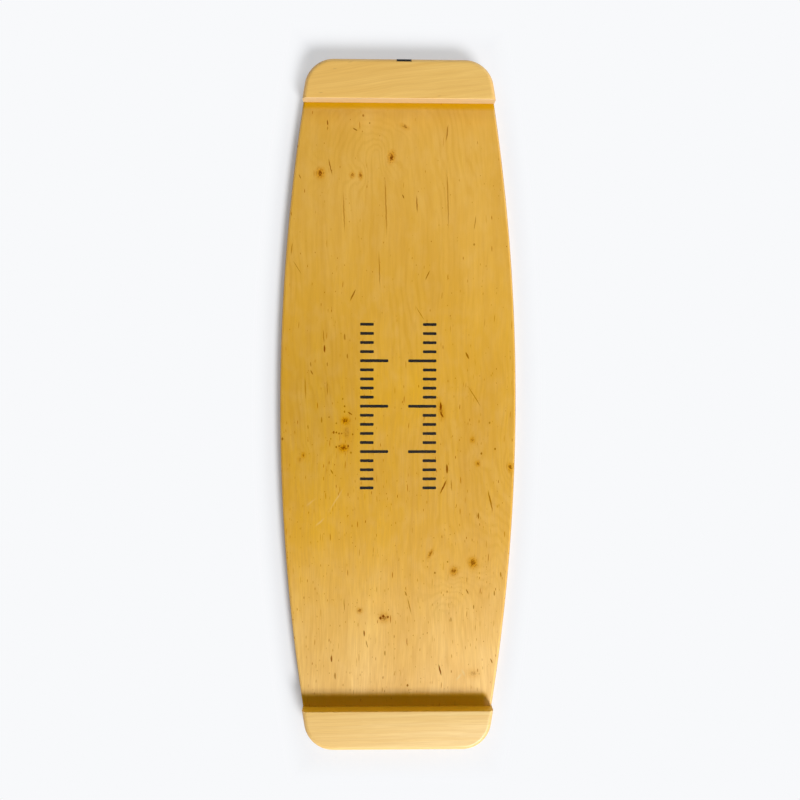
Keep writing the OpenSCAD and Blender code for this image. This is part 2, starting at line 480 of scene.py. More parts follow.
# %% Screw rows by Geometry Nodes
SCREW_COUNT = 4
SCREW_SPACING = 48 * MM
SCREW_Y = HALF_LENGTH - STOP_DEPTH / 2
HEAD_SINK = 0.5 * MM
DRIVER_SEED = 7
ROW_INPUTS = {"Screw": "Object", "Count": "Int", "Seed": "Int"}
ROW_INPUTS |= dict.fromkeys(("Spacing", "Row", "Sink"), "Float")

screw_tree, given = start_tree("screw_row", ROW_INPUTS)
last = add(screw_tree, "ShaderNodeMath", (given["Count"], 1), operation="SUBTRACT")
width = add(screw_tree, "ShaderNodeMath", (last, given["Spacing"]), operation="MULTIPLY")
first = add(screw_tree, "ShaderNodeMath", (width, -0.5), operation="MULTIPLY")
start = add(screw_tree, "ShaderNodeCombineXYZ", {"X": first, "Y": given["Row"], "Z": given["Sink"]})
step = add(screw_tree, "ShaderNodeCombineXYZ", {"X": given["Spacing"]})
places = {"Count": given["Count"], "Start Location": start, "Offset": step}
places = add(screw_tree, "GeometryNodeMeshLine", places)
turn = add(screw_tree, "FunctionNodeRandomValue", {"Max": math.pi / 2, "Seed": given["Seed"]})
turn = add(screw_tree, "ShaderNodeCombineXYZ", {"Z": turn})
turn = add(screw_tree, "FunctionNodeEulerToRotation", {"Euler": turn})
model = add(screw_tree, "GeometryNodeObjectInfo", {"Object": given["Screw"]})
copies = {"Points": places, "Instance": model.outputs["Geometry"], "Rotation": turn}
copies = add(screw_tree, "GeometryNodeInstanceOnPoints", copies)
end_tree(screw_tree, given, copies)


def screw_row(name, model, row):
    values = {"Screw": model, "Count": SCREW_COUNT, "Spacing": SCREW_SPACING, "Row": row}
    return grow(name, screw_tree, {**values, "Sink": HEAD_SINK, "Seed": DRIVER_SEED, "Finish": steel})


def drill(piece, cutters):
    for cutter in cutters:
        cut = piece.modifiers.new(cutter.name, "BOOLEAN")
        cut.solver = "MANIFOLD"
        cut.object = cutter
    return settle(piece)


show(screw_row("tag_end_wood_screws", one_screw, SCREW_Y), "tag_end_screws")
show(screw_row("plain_end_wood_screws", one_screw, -SCREW_Y), "plain_end_screws")
hole_rows = [screw_row(f"holes_{row}", one_hole, side * SCREW_Y) for row, side in enumerate((-1, 1))]
for helper in (one_screw, one_hole):
    bpy.data.objects.remove(helper)

# %% [markdown]
# ## Rotary-cut birch under satin lacquer
# The faces of the deck are birch veneer, peeled off a turning log like paper off a roll. Such a cut
# runs along the growth rings, so it shows faint arches and wandering lines instead of straight
# ones, with brown flecks along the grain and small pin knots. A picture could be laid on the face,
# but nodes stay sharp at any distance. The marks that the eye finds first are listed, in
# millimetres from the middle of the board, and noise gives all the others.

# %% Marks of the face veneers
# Pin knots of the roller face: x, y, half width, half length and turn in mm and degrees, then depth
ROLLER_KNOTS = [
    (-8, 273, 2.2, 3.8, -12, 1.0),
    (-86, 255, 2.6, 3.2, 0, 1.0),
    (-51, 253, 1.7, 2.0, 0, 0.7),
    (-42, 253, 1.4, 2.4, 0, 0.8),
    (7, 306, 3.0, 1.4, -30, 0.6),
    (-58, -16, 2.8, 2.6, 0, 0.9),
    (-60, -46, 3.0, 2.6, 0, 1.0),
    (-57, -29, 4.0, 7.0, 0, 0.3),
    (-104, -54, 1.4, 1.8, 0, 0.7),
    (-108, -59, 1.6, 1.8, 0, 0.35),
    (47, -4, 2.0, 5.5, 10, 0.6),
    (82, -37, 1.4, 2.0, 0, 0.7),
    (88, -63, 1.6, 1.8, 0, 0.75),
    (124, -67, 1.6, 2.8, 0, 0.85),
    (83, -173, 2.8, 3.4, 15, 0.9),
    (62, -182, 2.6, 3.0, -20, 0.8),
    (-42, -226, 1.8, 1.8, 0, 0.7),
    (-15, -234, 3.2, 3.2, -10, 0.6),
    (36, -163, 1.2, 3.2, -28, 0.7),
    (84, -296, 4, 3, 0, 0.35),
]
# Streaks, in families of one turn in degrees and one length for each unit of width: for every streak
# its x, y and half width in mm, and its depth
ROLLER_STREAKS = {
    (0, 1.3): [
        (-59, 0, 0.9, 0.7), (-59, -6, 1, 0.6), (-68, -19, 0.8, 0.6), (-76, -12, 0.7, 0.6),
        (-68, -29, 0.9, 0.8), (-65, -30, 0.9, 0.8), (-62, -30, 0.8, 0.7), (-74, -36, 0.7, 0.5),
        (-61, 8, 0.8, 0.5), (-55, -44, 1, 0.9), (-52, -51, 1, 0.5), (-50, -31, 0.9, 0.7),
        (-68, -45, 0.9, 0.8), (-65, -44, 0.9, 0.7), (-71, -29, 1.1, 0.85), (-127, -36, 1.1, 0.8),
        (-19, -234, 1.3, 1), (-16, -232, 1.3, 1), (-11, -233, 1.2, 0.9), (92, -52, 1, 0.75),
        (101, -18, 0.9, 0.6), (107, -47, 1, 0.7), (41, -184, 0.9, 0.7), (55, -172, 0.8, 0.6),
        (11, -309, 1.1, 0.8), (-39, 318, 1.1, 0.7), (-32, 310, 0.9, 0.5), (83, 178, 1, 0.6),
    ],
    (3, 4): [
        (47, 0, 1.1, 1), (54, -69, 1.2, 0.9), (59, -236, 0.6, 0.6), (-81, 63, 1, 0.95),
        (-59, 76, 0.9, 0.6), (-56, 55, 0.7, 0.6), (-96, 46, 0.6, 0.6), (-78, 46, 0.6, 0.6),
        (-84, -15, 0.8, 0.5), (-99, -23, 0.6, 0.5), (89, -121, 0.9, 0.7), (-37, -251, 0.8, 0.9),
        (-73, -279, 0.9, 0.9), (-69, -298, 0.9, 0.6), (-14, -273, 0.7, 0.6), (107, -207, 0.7, 0.6),
        (114, -186, 0.7, 0.6), (84, -222, 0.6, 0.7), (-78, 310, 0.7, 0.9), (-78, 304, 0.5, 0.6),
    ],
    (3, 14): [
        (-82, 76, 0.55, 0.5), (-78, 20, 0.5, 0.6), (-102, 20, 0.8, 0.4),
        (59, -87, 0.45, 0.6), (-59, -219, 0.5, 0.5), (20, 222, 0.6, 0.8),
    ],
    (2, 40): [(-60, 212, 0.5, 0.55), (-14, 219, 0.75, 0.5), (54, 227, 0.75, 0.5), (-21, 150, 0.45, 0.6)],
    (-7, 12): [(84, 202, 0.6, 0.5), (-117, 172, 0.55, 0.5), (53, 300, 0.7, 0.65)],
    (13, 14): [(102, -104, 0.8, 0.65), (13, -221, 0.65, 0.5), (-75, 262, 0.6, 0.75)],
    (14, 7): [(47, -292, 0.85, 0.95), (-34, -263, 0.6, 0.6)],
    (25, 4): [
        (48, -9, 0.9, 0.95), (9, -207, 0.7, 0.6), (77, -205, 0.7, 0.8),
        (104, -282, 0.7, 0.8), (5, 230, 0.6, 0.8), (-95, 37, 0.7, 0.7),
        (-73, -72, 0.7, 0.6), (76, 56, 1, 0.75), (-108, 251, 0.6, 0.6),
    ],
    (-25, 9): [(50, -89, 0.85, 0.95), (32, 144, 0.6, 0.65), (-50, 122, 0.75, 0.75)],
    (57, 4): [(-53, -8, 0.7, 0.8), (-48, 303, 0.7, 0.8)],
    (32, 20): [(84, 11, 0.6, 0.5), (-111, 152, 0.4, 0.5), (24, 102, 0.4, 0.5)],
}
# Pale scratches in the lacquer, listed like the knots
ROLLER_SCRATCHES = [
    (-96, -106, 1.3, 8, -51, 0.25),
    (-68, -103, 1.2, 18, -32, 0.3),
    (-86, -128, 1.4, 8, -50, 0.35),
    (68, -300, 1.6, 6, -40, 0.5),
    (73, -295, 1.6, 5, 25, 0.5),
]
# Arches in the growth rings: x, y and turn in mm and degrees, and the step from ring to ring in mm
ROLLER_ARCHES = [(-24, 283, 3, 6.5), (52, -234, 3, 9.0)]
# Broad darker places, listed like the knots, with paler ones below zero
ROLLER_SHADES = [
    (-95, 0, 75, 130, 0, 0.09),
    (64, -279, 12, 28, 8, -0.05),
    (46, -228, 17, 28, 0, 0.06),
    (-26, -217, 32, 13, 0, -0.04),
]
# The foot of each stop, where the deck is painted with shade: its end, where the painted shadow
# starts and is full, in mm from the stop, how far to the right it reaches, and the tone of the
# painted dimming beside the stop
ROLLER_FEET = [(1, 9, 3, 130, 0.83), (-1, 17, 10, 101, 0.97)]

# The riding face has marks of its own, and no stop stands on it
RIDING_KNOTS = [
    (40, 212, 3.0, 3.8, 10, 1.0),
    (-62, 96, 2.4, 3.0, 0, 0.8),
    (71, -58, 3.2, 3.6, -14, 0.9),
    (-28, -196, 2.8, 3.4, 0, 1.0),
    (-35, -204, 1.8, 2.2, 0, 0.6),
]
RIDING_STREAKS = {(9, 11): [(12, 120, 0.8, 0.6), (55, -246, 0.7, 0.7)], (-10, 11): [(-88, -40, 0.7, 0.6)]}
RIDING_SCRATCHES = [(20, -30, 0.6, 30, 62, 0.35), (-45, 30, 0.6, 24, 75, 0.3), (10, 262, 0.6, 18, -50, 0.3)]
RIDING_ARCHES = [(30, -150, 182, 5.4), (-40, 210, 177, 5.0)]
RIDING_SHADES = [(60, 120, 70, 150, 0, 0.08)]
print(len(ROLLER_KNOTS), "knots,", sum(map(len, ROLLER_STREAKS.values())), "streaks on the roller face")

# %% [markdown]
# ## Coordinates that follow the grain
# Nothing in wood is quite straight, so patterns are drawn on coordinates that a noise pushes to and
# fro: slowly for the drift of the grain, finely for ragged and frayed edges. A noise that is
# stretched along the grain gives fibres, bands or soft clouds, whichever its size makes of it.

# %% Grain helpers
DRIFT_SIZE, DRIFT = 95, (12, 40, 0)
RAGGED_SIZE, RAGGED = 2.2, (2.4, 2.8, 0)
FRAYED_SIZE, FRAYED = 5, (1, 1, 0)
NOISE_MIDDLE = (0.5, 0.5, 0.5)
FLAT = 1000


# The noise is centred on zero, so nothing is shifted on the whole
def wander(tree, noise_at, base, size, reach):
    noise = add(tree, "ShaderNodeTexNoise", {"Vector": noise_at, "Scale": 1 / size, "Detail": 1.5})
    push = add(tree, "ShaderNodeVectorMath", (noise.outputs["Color"], NOISE_MIDDLE), operation="SUBTRACT")
    return add(tree, "ShaderNodeVectorMath", (push, reach, base), operation="MULTIPLY_ADD")


# A share from 0 to 1, which the noise gives where it runs from low to high
def along_grain(tree, base, across, along, low, high, grain=1, unit=1, rough=0.55):
    stretch = [1 / (along if axis == grain else across) / unit for axis in range(3)]
    fit = add(tree, "ShaderNodeMapping", {"Vector": base, "Scale": stretch})
    noise = add(tree, "ShaderNodeTexNoise", {"Vector": fit, "Scale": 1, "Detail": 3, "Roughness": rough})
    return add(tree, "ShaderNodeMapRange", (noise, low, high))


# A mark's own coordinates: turned, and stretched until its edge lies at 1
def within(tree, base, x, y, wide, long, turn):
    own = {"Vector": base, "Location": (x, y, 0), "Rotation": (0, 0, math.radians(turn))}
    return add(tree, "ShaderNodeMapping", {**own, "Scale": (wide, long, FLAT)}, vector_type="TEXTURE")


print(f"the grain drifts by up to {DRIFT[0] / 2:.0f} mm to either side")

# %% [markdown]
# ## Knots, streaks and scratches
# A mark is drawn by distance: full in its core, and fading to nothing at its edge. A knot has three
# edges, one for the dark heart, one for the stain and one for the hill that pushes the growth
# rings aside. Streaks of one family share their coordinates, so each one is only a distance.

# %% Marks by distance
HEART, STAIN, HILL = (1.05, 0.5), (3.2, 0.4), (9, 0)
SCRATCH = (1.2, 0)
STREAK_EDGE, STREAK_CORE = 1.3, 0.6


def marks(tree, base, table, edges):
    totals = [None] * len(edges)
    for *ellipse, depth in table:
        reach = within(tree, base, *ellipse)
        reach = add(tree, "ShaderNodeVectorMath", (reach,), operation="LENGTH")
        for i, (outer, inner) in enumerate(edges):
            spot = add(tree, "ShaderNodeMapRange", (reach, outer, inner, 0, depth), **SMOOTH)
            if totals[i]:
                spot = add(tree, "ShaderNodeMath", (totals[i], spot), operation="MAXIMUM")
            totals[i] = spot
    return totals


def streaked(tree, base, families):
    total = None
    for (turn, stretch), places in families.items():
        own = within(tree, base, 0, 0, 1, stretch, turn)
        cos, sin = math.cos(math.radians(turn)), math.sin(math.radians(turn))
        for x, y, half, depth in places:
            centre = (x * cos + y * sin, (y * cos - x * sin) / stretch, 0)
            reach = add(tree, "ShaderNodeVectorMath", (own, centre), operation="DISTANCE")
            spot = (reach, STREAK_EDGE * half, STREAK_CORE * half, 0, depth)
            spot = add(tree, "ShaderNodeMapRange", spot, **SMOOTH)
            if total:
                spot = add(tree, "ShaderNodeMath", (total, spot), operation="MAXIMUM")
            total = spot
    return total


print("a knot's stain reaches", round(STAIN[0] / HEART[0], 1), "times as far as its heart")

# %% [markdown]
# ## Growth rings
# Each ring is one step higher than the last, as on a map of a hill, and a sine draws a line at every
# step. The hills here are arches: round at the top, running out along the grain below and
# spreading a little on the way. A slow sway keeps the lines from looking drawn, each knot adds a
# small hill, so the rings run round it, and the lines show best near an arch and fade elsewhere.

# %% Rings of the veneers
ARCH_TAIL, ARCH_RUN, ARCH_SPREAD = 0.06, -12, -1.4
ARCH_FADE, ARCH_PLAIN, ARCH_DEPTH = 9, 3, 0.09
ARCH_BLEND = 6
KNOT_HILL = 2
# Noises of the grain: size across and along it in mm, and the noise values that give 0 and 1
SWAY_NOISE, RING_SWAY = (30, 170, 0.2, 0.8), 3
FADE_NOISE, RING_DEPTH = (40, 95, 0.38, 0.7), 0.1
RING_EDGE = -0.3


def growth_rings(tree, flow, streamed, arches, hills):
    rise = near = None
    for x, y, turn, step in arches:
        own = within(tree, streamed, x, y, step, step, turn)
        away = add(tree, "ShaderNodeVectorMath", (own,), operation="LENGTH")
        own = add(tree, "ShaderNodeSeparateXYZ", {"Vector": own})
        fall = own.outputs["Y"]
        tail = add(tree, "ShaderNodeMath", (fall, ARCH_TAIL), operation="MULTIPLY")
        bow = add(tree, "ShaderNodeMath", (fall, tail), operation="MAXIMUM")
        own = add(tree, "ShaderNodeCombineXYZ", {"X": own.outputs["X"], "Y": bow})
        reach = add(tree, "ShaderNodeVectorMath", (own,), operation="LENGTH")
        spread = add(tree, "ShaderNodeMapRange", (fall, 0, ARCH_RUN, 0, ARCH_SPREAD))
        reach = add(tree, "ShaderNodeMath", (reach, spread), operation="ADD")
        if rise:
            away = add(tree, "ShaderNodeMath", (near, away), operation="MINIMUM")
            reach = add(tree, "ShaderNodeMath", (rise, reach, ARCH_BLEND), operation="SMOOTH_MIN")
        rise, near = reach, away
    sway = along_grain(tree, flow, *SWAY_NOISE)
    for amount, height in ((sway, RING_SWAY), (hills, KNOT_HILL)):
        rise = add(tree, "ShaderNodeMath", (amount, height, rise), operation="MULTIPLY_ADD")
    ring = add(tree, "ShaderNodeMath", (rise, math.tau), operation="MULTIPLY")
    ring = add(tree, "ShaderNodeMath", (ring,), operation="SINE")
    ring = add(tree, "ShaderNodeMapRange", (ring, RING_EDGE), **SMOOTH)
    fade = along_grain(tree, flow, *FADE_NOISE)
    fade = add(tree, "ShaderNodeMath", (fade, RING_DEPTH), operation="MULTIPLY")
    plain = add(tree, "ShaderNodeMapRange", (near, ARCH_FADE, ARCH_PLAIN, 0, ARCH_DEPTH))
    fade = add(tree, "ShaderNodeMath", (fade, plain), operation="MAXIMUM")
    pale = add(tree, "ShaderNodeMath", (1, ring), operation="SUBTRACT")
    return [add(tree, "ShaderNodeMath", (line, fade), operation="MULTIPLY") for line in (ring, pale)]


print("rings of the roller face every", [step for *_, step in ROLLER_ARCHES], "mm")

# %% [markdown]
# ## Flecks and knots
# Birch is full of short brown flecks. A Voronoi texture with stretched cells draws one dash in each
# cell, and only the cells with a high random colour keep theirs, more of them towards the foot of
# the sheet. In a knot a fine noise breaks up the heart, and dots lie scattered in its stain.

# %% Flecks and knots of the veneers
# Flecks: cell across and along in mm, turn in degrees, share of the cell, rarity at either end, depth
FLECKS = [
    (2.6, 24, 7, 0.2, 0.985, 0.925, 1.0),
    (2.0, 9, -10, 0.25, 0.988, 0.94, 1.0),
    (1.6, 3.4, 3, 0.3, 0.992, 0.972, 0.9),
]
RARE_AT, COMMON_AT = 120, -160
FLECK_CORE = 0.45
FAINT_FLECK, STRONG_FLECK = 0.25, 1.2
SPECK_SIZE, BROKEN_HEART = 1.5, (0.42, 0.54, 0.35)
DOT_SIZE, DOT = 2.2, (0.42, 0.2, 0, 0.9)
STAIN_DEPTH = 0.6


def flecked(tree, flow, along):
    dashes = None
    for wide, long, turn, share, rare, common, depth in FLECKS:
        cells = {"Vector": flow, "Rotation": (0, 0, math.radians(turn))}
        cells = add(tree, "ShaderNodeMapping", {**cells, "Scale": (1 / wide, 1 / long, 1 / FLAT)})
        cell = add(tree, "ShaderNodeTexVoronoi", {"Vector": cells, "Scale": 1}, voronoi_dimensions="2D")
        dash = add(tree, "ShaderNodeMapRange", (cell, share, share * FLECK_CORE, 0, depth), **SMOOTH)
        chance = add(tree, "ShaderNodeSeparateColor", {"Color": cell.outputs["Color"]}).outputs
        bar = add(tree, "ShaderNodeMapRange", (along, RARE_AT, COMMON_AT, rare, common))
        kept = add(tree, "ShaderNodeMath", (chance["Red"], bar), operation="GREATER_THAN")
        strength = add(tree, "ShaderNodeMath", (chance["Green"], chance["Blue"]), operation="MULTIPLY")
        strength = add(tree, "ShaderNodeMapRange", (strength, 0, 1, FAINT_FLECK, STRONG_FLECK))
        kept = add(tree, "ShaderNodeMath", (kept, strength), operation="MULTIPLY")
        dash = add(tree, "ShaderNodeMath", (dash, kept), operation="MULTIPLY")
        if dashes:
            dash = add(tree, "ShaderNodeMath", (dashes, dash), operation="MAXIMUM")
        dashes = dash
    return dashes


def knotted(tree, moved, hearts, stains):
    speck = add(tree, "ShaderNodeTexNoise", {"Vector": moved, "Scale": 1 / SPECK_SIZE, "Detail": 2})
    broken = add(tree, "ShaderNodeMapRange", (speck, *BROKEN_HEART))
    hearts = add(tree, "ShaderNodeMath", (hearts, broken), operation="MULTIPLY")
    dots = {"Vector": moved, "Scale": 1 / DOT_SIZE}
    dots = add(tree, "ShaderNodeTexVoronoi", dots, voronoi_dimensions="2D")
    pepper = add(tree, "ShaderNodeMapRange", (dots, *DOT), **SMOOTH)
    for _ in range(2):
        pepper = add(tree, "ShaderNodeMath", (pepper, stains), operation="MULTIPLY")
    stain = add(tree, "ShaderNodeMath", (stains, STAIN_DEPTH), operation="MULTIPLY")
    return hearts, pepper, stain


print(len(FLECKS), "sizes of flecks, the longest about", max(long for _, long, *_ in FLECKS), "mm")

# %% [markdown]
# ## Light and dark places of a sheet
# A sheet is never the same all over. This one has a warmer head and a few broad shades. Its foot,
# its lower end and its right side are paler, partly its own tone and partly painted light and
# sheen of the lamp at the lower right. Along the foot of each stop lies painted shade: a deep
# orange band in the corner and a dimmer strip beside it. At the plain stop that band is the
# stop's cast shadow on the deck, cut off on the right where the shadow ends.

# %% Shades of the veneers
# Ramps: where each starts and ends, in mm from the middle of the board, and its values there
# The foot ramp and the lifts of the lower end and the right side are partly the sheet's tone and partly
# painted light and sheen of the lamp at the lower right
HEAD, FOOT_TONE_AND_SHEEN = (20, 220, 0, 1), (-140, -310, 0, 1)
RIGHT_TONE_AND_LIGHT, LOW_END_TONE_AND_LIGHT = (-90, 70, 0.968, 1.026), (-80, -300, 1, 1.155)
# Painted shade at the foot of the stops: the dimmed strip, and the deep orange band and its fade
DIM_START, DIM_FULL = 24, 6
PAINTED_SHADOW_DEPTH, PAINTED_SHADOW_FADE = 0.9, 6


def shaded(tree, streamed, across, along, shades):
    head, foot_tone_and_sheen, right_tone_and_light, low = [
        add(tree, "ShaderNodeMapRange", (way, *ramp))
        for way, ramp in ((along, HEAD), (along, FOOT_TONE_AND_SHEEN), (across, RIGHT_TONE_AND_LIGHT), (along, LOW_END_TONE_AND_LIGHT))
    ]
    lift = add(tree, "ShaderNodeMath", (right_tone_and_light, low), operation="MULTIPLY")
    for *ellipse, depth in shades:
        shade = within(tree, streamed, *ellipse)
        shade = add(tree, "ShaderNodeVectorMath", (shade,), operation="LENGTH")
        shade = add(tree, "ShaderNodeMapRange", (shade, 0, 1, 1 - depth), **SMOOTH)
        lift = add(tree, "ShaderNodeMath", (lift, shade), operation="MULTIPLY")
    return head, foot_tone_and_sheen, lift


# Painted shade along the foot of each stop: a deep orange band in the corner, which at the plain stop is
# its cast shadow and ends on the right where that shadow ends, and a dimming beside it
def painted_foot_shade(tree, across, along, feet, lift):
    painted_shadows = []
    for end, start, full, right_end, dimming in feet:
        painted_dimming, painted_shadow = [
            (along, end * (STOP_FACE / MM - far), end * (STOP_FACE / MM - near), open_value, shaded_value)
            for far, near, open_value, shaded_value in ((DIM_START, DIM_FULL, 1, dimming), (start, full, 0, PAINTED_SHADOW_DEPTH))
        ]
        painted_dimming = add(tree, "ShaderNodeMapRange", painted_dimming, **SMOOTH)
        painted_shadow = add(tree, "ShaderNodeMapRange", painted_shadow, **SMOOTH)
        reach = add(tree, "ShaderNodeMapRange", (across, right_end, right_end - PAINTED_SHADOW_FADE))
        painted_shadows.append(add(tree, "ShaderNodeMath", (painted_shadow, reach), operation="MULTIPLY"))
        lift = add(tree, "ShaderNodeMath", (lift, painted_dimming), operation="MULTIPLY")
    return painted_shadows, lift


print("grime starts", [start for _, start, *_ in ROLLER_FEET], "mm from the stops")

# %% [markdown]
# ## The veneer put together
# The layers of colour go over each other like glazes: clear wood first, with the painted shade at
# the foot of the stops, then how light each part of the sheet is, partly painted light, then its
# faults. The satin lacquer is a thin film that has sunk into flecks and knots, so those don't
# shine, the painted shade at the stops is kept from shining too, and the fibres and flecks give
# the surface its faint relief.

# %% Finish of the face veneers
# Noises of the grain, given as for the rings, and how deep they colour the wood. Real fibres are
# too fine for the picture, so they are drawn as coarse as they need to show.
TONE_NOISE = (60, 150, 0.25, 0.95)
BAND_NOISE, BAND_DEPTH = (9, 130, 0.35, 0.75), 0.3
MOTTLE_NOISE, MOTTLE_DEPTH = (14, 22, 0.45, 0.75), 0.11
FIBRE_NOISE = (1.4, 24, 0.3, 0.7)
# A ramp down the sheet: the fibres show more towards its foot
COARSE_FIBRE = (200, -200, 0.18, 0.4)
OPEN_PORE, SATIN = 0.5, 0.85
FIBRE_DIP = 0.5


def birch_veneer(name, shift, arches, shades, knots, streaks, scratches, feet):
    made, tree = start_material(name)
    where = add(tree, "ShaderNodeTexCoord").outputs["Object"]
    mm = add(tree, "ShaderNodeVectorMath", {0: where, "Scale": 1 / MM}, operation="SCALE")
    moved = add(tree, "ShaderNodeVectorMath", (mm, shift), operation="ADD")
    flow = wander(tree, moved, moved, DRIFT_SIZE, DRIFT)
    streamed = add(tree, "ShaderNodeVectorMath", (flow, shift), operation="SUBTRACT")
    ragged = wander(tree, moved, mm, RAGGED_SIZE, RAGGED)
    frayed = wander(tree, moved, mm, FRAYED_SIZE, FRAYED)

    hearts, stains, hills = marks(tree, ragged, knots, [HEART, STAIN, HILL])
    lines = streaked(tree, frayed, streaks)
    (scuffs,) = marks(tree, frayed, scratches, [SCRATCH])
    ring, pale = growth_rings(tree, flow, streamed, arches, hills)
    tone = along_grain(tree, flow, *TONE_NOISE)
    band, mottle = [
        add(tree, "ShaderNodeMath", (along_grain(tree, flow, *noise), depth), operation="MULTIPLY")
        for noise, depth in ((BAND_NOISE, BAND_DEPTH), (MOTTLE_NOISE, MOTTLE_DEPTH))
    ]
    fibre = along_grain(tree, flow, *FIBRE_NOISE)
    place = add(tree, "ShaderNodeSeparateXYZ", {"Vector": mm})
    across, along = place.outputs["X"], place.outputs["Y"]
    coarse = add(tree, "ShaderNodeMapRange", (along, *COARSE_FIBRE))
    strands = add(tree, "ShaderNodeMath", (fibre, coarse), operation="MULTIPLY")
    dashes = flecked(tree, flow, along)
    hearts, pepper, stain = knotted(tree, moved, hearts, stains)
    head, foot_tone_and_sheen, lift = shaded(tree, streamed, across, along, shades)
    painted_shadows, lift = painted_foot_shade(tree, across, along, feet, lift)

    # The paler foot is partly the sheet's tone and partly painted sheen of the lamp
    wood = [
        (head, "#EAB850"),
        (foot_tone_and_sheen, "#F8D080"),
        (tone, "#D69E18"),
        (band, "#CA9022"),
        (ring, "#B4780F"),
        (pale, "#F6CE76"),
        (strands, "#C48818"),
        (mottle, "#F6D48E"),
    ]
    # Painted shade at the foot of the stops, at the plain stop its cast shadow
    wood += [(painted_shadow, "#D29B00") for painted_shadow in painted_shadows]
    faults = [
        (scuffs, "#ECD08C"),
        (stain, "#CC8200"),
        (pepper, "#8A4C00"),
        (dashes, "#A85800"),
        (lines, "#824000"),
        (hearts, "#7E4000"),
    ]
    tint = linear("#E8B000")
    for layers in (wood, faults):
        for amount, shade in layers:
            glaze = {"Factor": amount, "A": tint, "B": linear(shade)}
            tint = add(tree, "ShaderNodeMix", glaze, data_type="RGBA")
        if layers is wood:
            tint = add(tree, "ShaderNodeVectorMath", {0: tint, "Scale": lift}, operation="SCALE")

    rough = add(tree, "ShaderNodeMapRange", {"Value": fibre, "To Min": 0.39, "To Max": 0.45})
    # The painted shade at the stops loses its sheen along with the flecks and knots
    pores_and_shade = dashes
    for pore_and_shade in (lines, stain, pepper, hearts, *painted_shadows):
        pores_and_shade = add(tree, "ShaderNodeMath", (pores_and_shade, pore_and_shade), operation="MAXIMUM")
    gloss = add(tree, "ShaderNodeMapRange", (pores_and_shade, 0, OPEN_PORE, SATIN, 0))
    dips = add(tree, "ShaderNodeMath", (fibre, FIBRE_DIP, dashes), operation="MULTIPLY_ADD")
    relief = {"Height": dips, "Strength": 0.35, "Distance": 0.03 * MM}
    relief = add(tree, "ShaderNodeBump", relief, invert=True)
    lacquer = {"Base Color": tint, "Roughness": rough, "Specular IOR Level": gloss, "Normal": relief}
    lacquer = add(tree, "ShaderNodeBsdfPrincipled", lacquer)
    return end_material(made, lacquer)


roller_face_finish = birch_veneer(
    "rotary_cut_birch_satin_lacquer", (0, 0, 0), ROLLER_ARCHES, ROLLER_SHADES,
    ROLLER_KNOTS, ROLLER_STREAKS, ROLLER_SCRATCHES, ROLLER_FEET,
)
# The riding face takes its noise from another place, so the two sheets differ
riding_face_finish = birch_veneer(
    "rotary_cut_birch_worn_lacquer", (530, 210, 90), RIDING_ARCHES, RIDING_SHADES,
    RIDING_KNOTS, RIDING_STREAKS, RIDING_SCRATCHES, [],
)

# %% [markdown]
# ## Sanded plywood edges
# Between the faces lie nine plies, turned crosswise by turns. Where a ply shows its long grain it is
# pale and streaky, and where it shows its end grain it is darker and dotted, because the cut fibres
# drink more lacquer. One finish with its noise stretched along the grain gives both by itself: the
# same fibres are streaks from the side and dots from the end. A thin brown line is the glue.

# %% Finish of the plies
# A noise of the grain, given as for the rings, and how rough that noise is. Its fibres too are
# coarser than real ones, so that they show.
PLY_FIBRE, PLY_ROUGHNESS = (0.5, 24, 0.3, 0.7), 0.6
CORE_PLY = 1.4 * MM
FACE_PLY = 1.2 * MM
GLUE_LINE, GLUE_DEPTH = 0.09, 0.7
END_GRAIN_DEPTH = 0.75


def birch_ply(name, grain, pale, deep, end_grain):
    made, tree = start_material(name)
    where = add(tree, "ShaderNodeTexCoord").outputs["Object"]
    fibre = along_grain(tree, where, *PLY_FIBRE, grain, MM, PLY_ROUGHNESS)
    facing = add(tree, "ShaderNodeNewGeometry").outputs["Normal"]
    facing = add(tree, "ShaderNodeSeparateXYZ", {"Vector": facing})
    cut = add(tree, "ShaderNodeMath", (facing.outputs["XYZ"[grain]],), operation="ABSOLUTE")
    cut = add(tree, "ShaderNodeMath", (cut, END_GRAIN_DEPTH), operation="MULTIPLY")
    height = add(tree, "ShaderNodeSeparateXYZ", {"Vector": where}).outputs["Z"]
    layer = add(tree, "ShaderNodeMath", (height, FACE_PLY), operation="SUBTRACT")
    layer = add(tree, "ShaderNodeMath", (layer, CORE_PLY), operation="DIVIDE")
    glue = add(tree, "ShaderNodeMath", (layer, 0.5), operation="PINGPONG")
    glue = add(tree, "ShaderNodeMapRange", (glue, GLUE_LINE, 0, 0, GLUE_DEPTH), **SMOOTH)
    tint = linear(pale)
    for amount, shade in ((fibre, deep), (cut, end_grain), (glue, "#5A3A12")):
        glaze = {"Factor": amount, "A": tint, "B": linear(shade)}
        tint = add(tree, "ShaderNodeMix", glaze, data_type="RGBA")
    rough = add(tree, "ShaderNodeMapRange", {"Value": fibre, "To Min": 0.42, "To Max": 0.55})
    relief = add(tree, "ShaderNodeBump", {"Height": fibre, "Strength": 0.4, "Distance": 0.04 * MM})
    lacquer = {"Base Color": tint, "Roughness": rough, "IOR": 1.5, "Normal": relief}
    lacquer = add(tree, "ShaderNodeBsdfPrincipled", lacquer)
    return end_material(made, lacquer)


long_ply_finish = birch_ply("peeled_birch_ply_along_sanded", 1, "#DDB25C", "#C8973A", "#A9752A")
cross_ply_finish = birch_ply("peeled_birch_ply_across_sanded", 0, "#D2A44C", "#B98530", "#94621F")

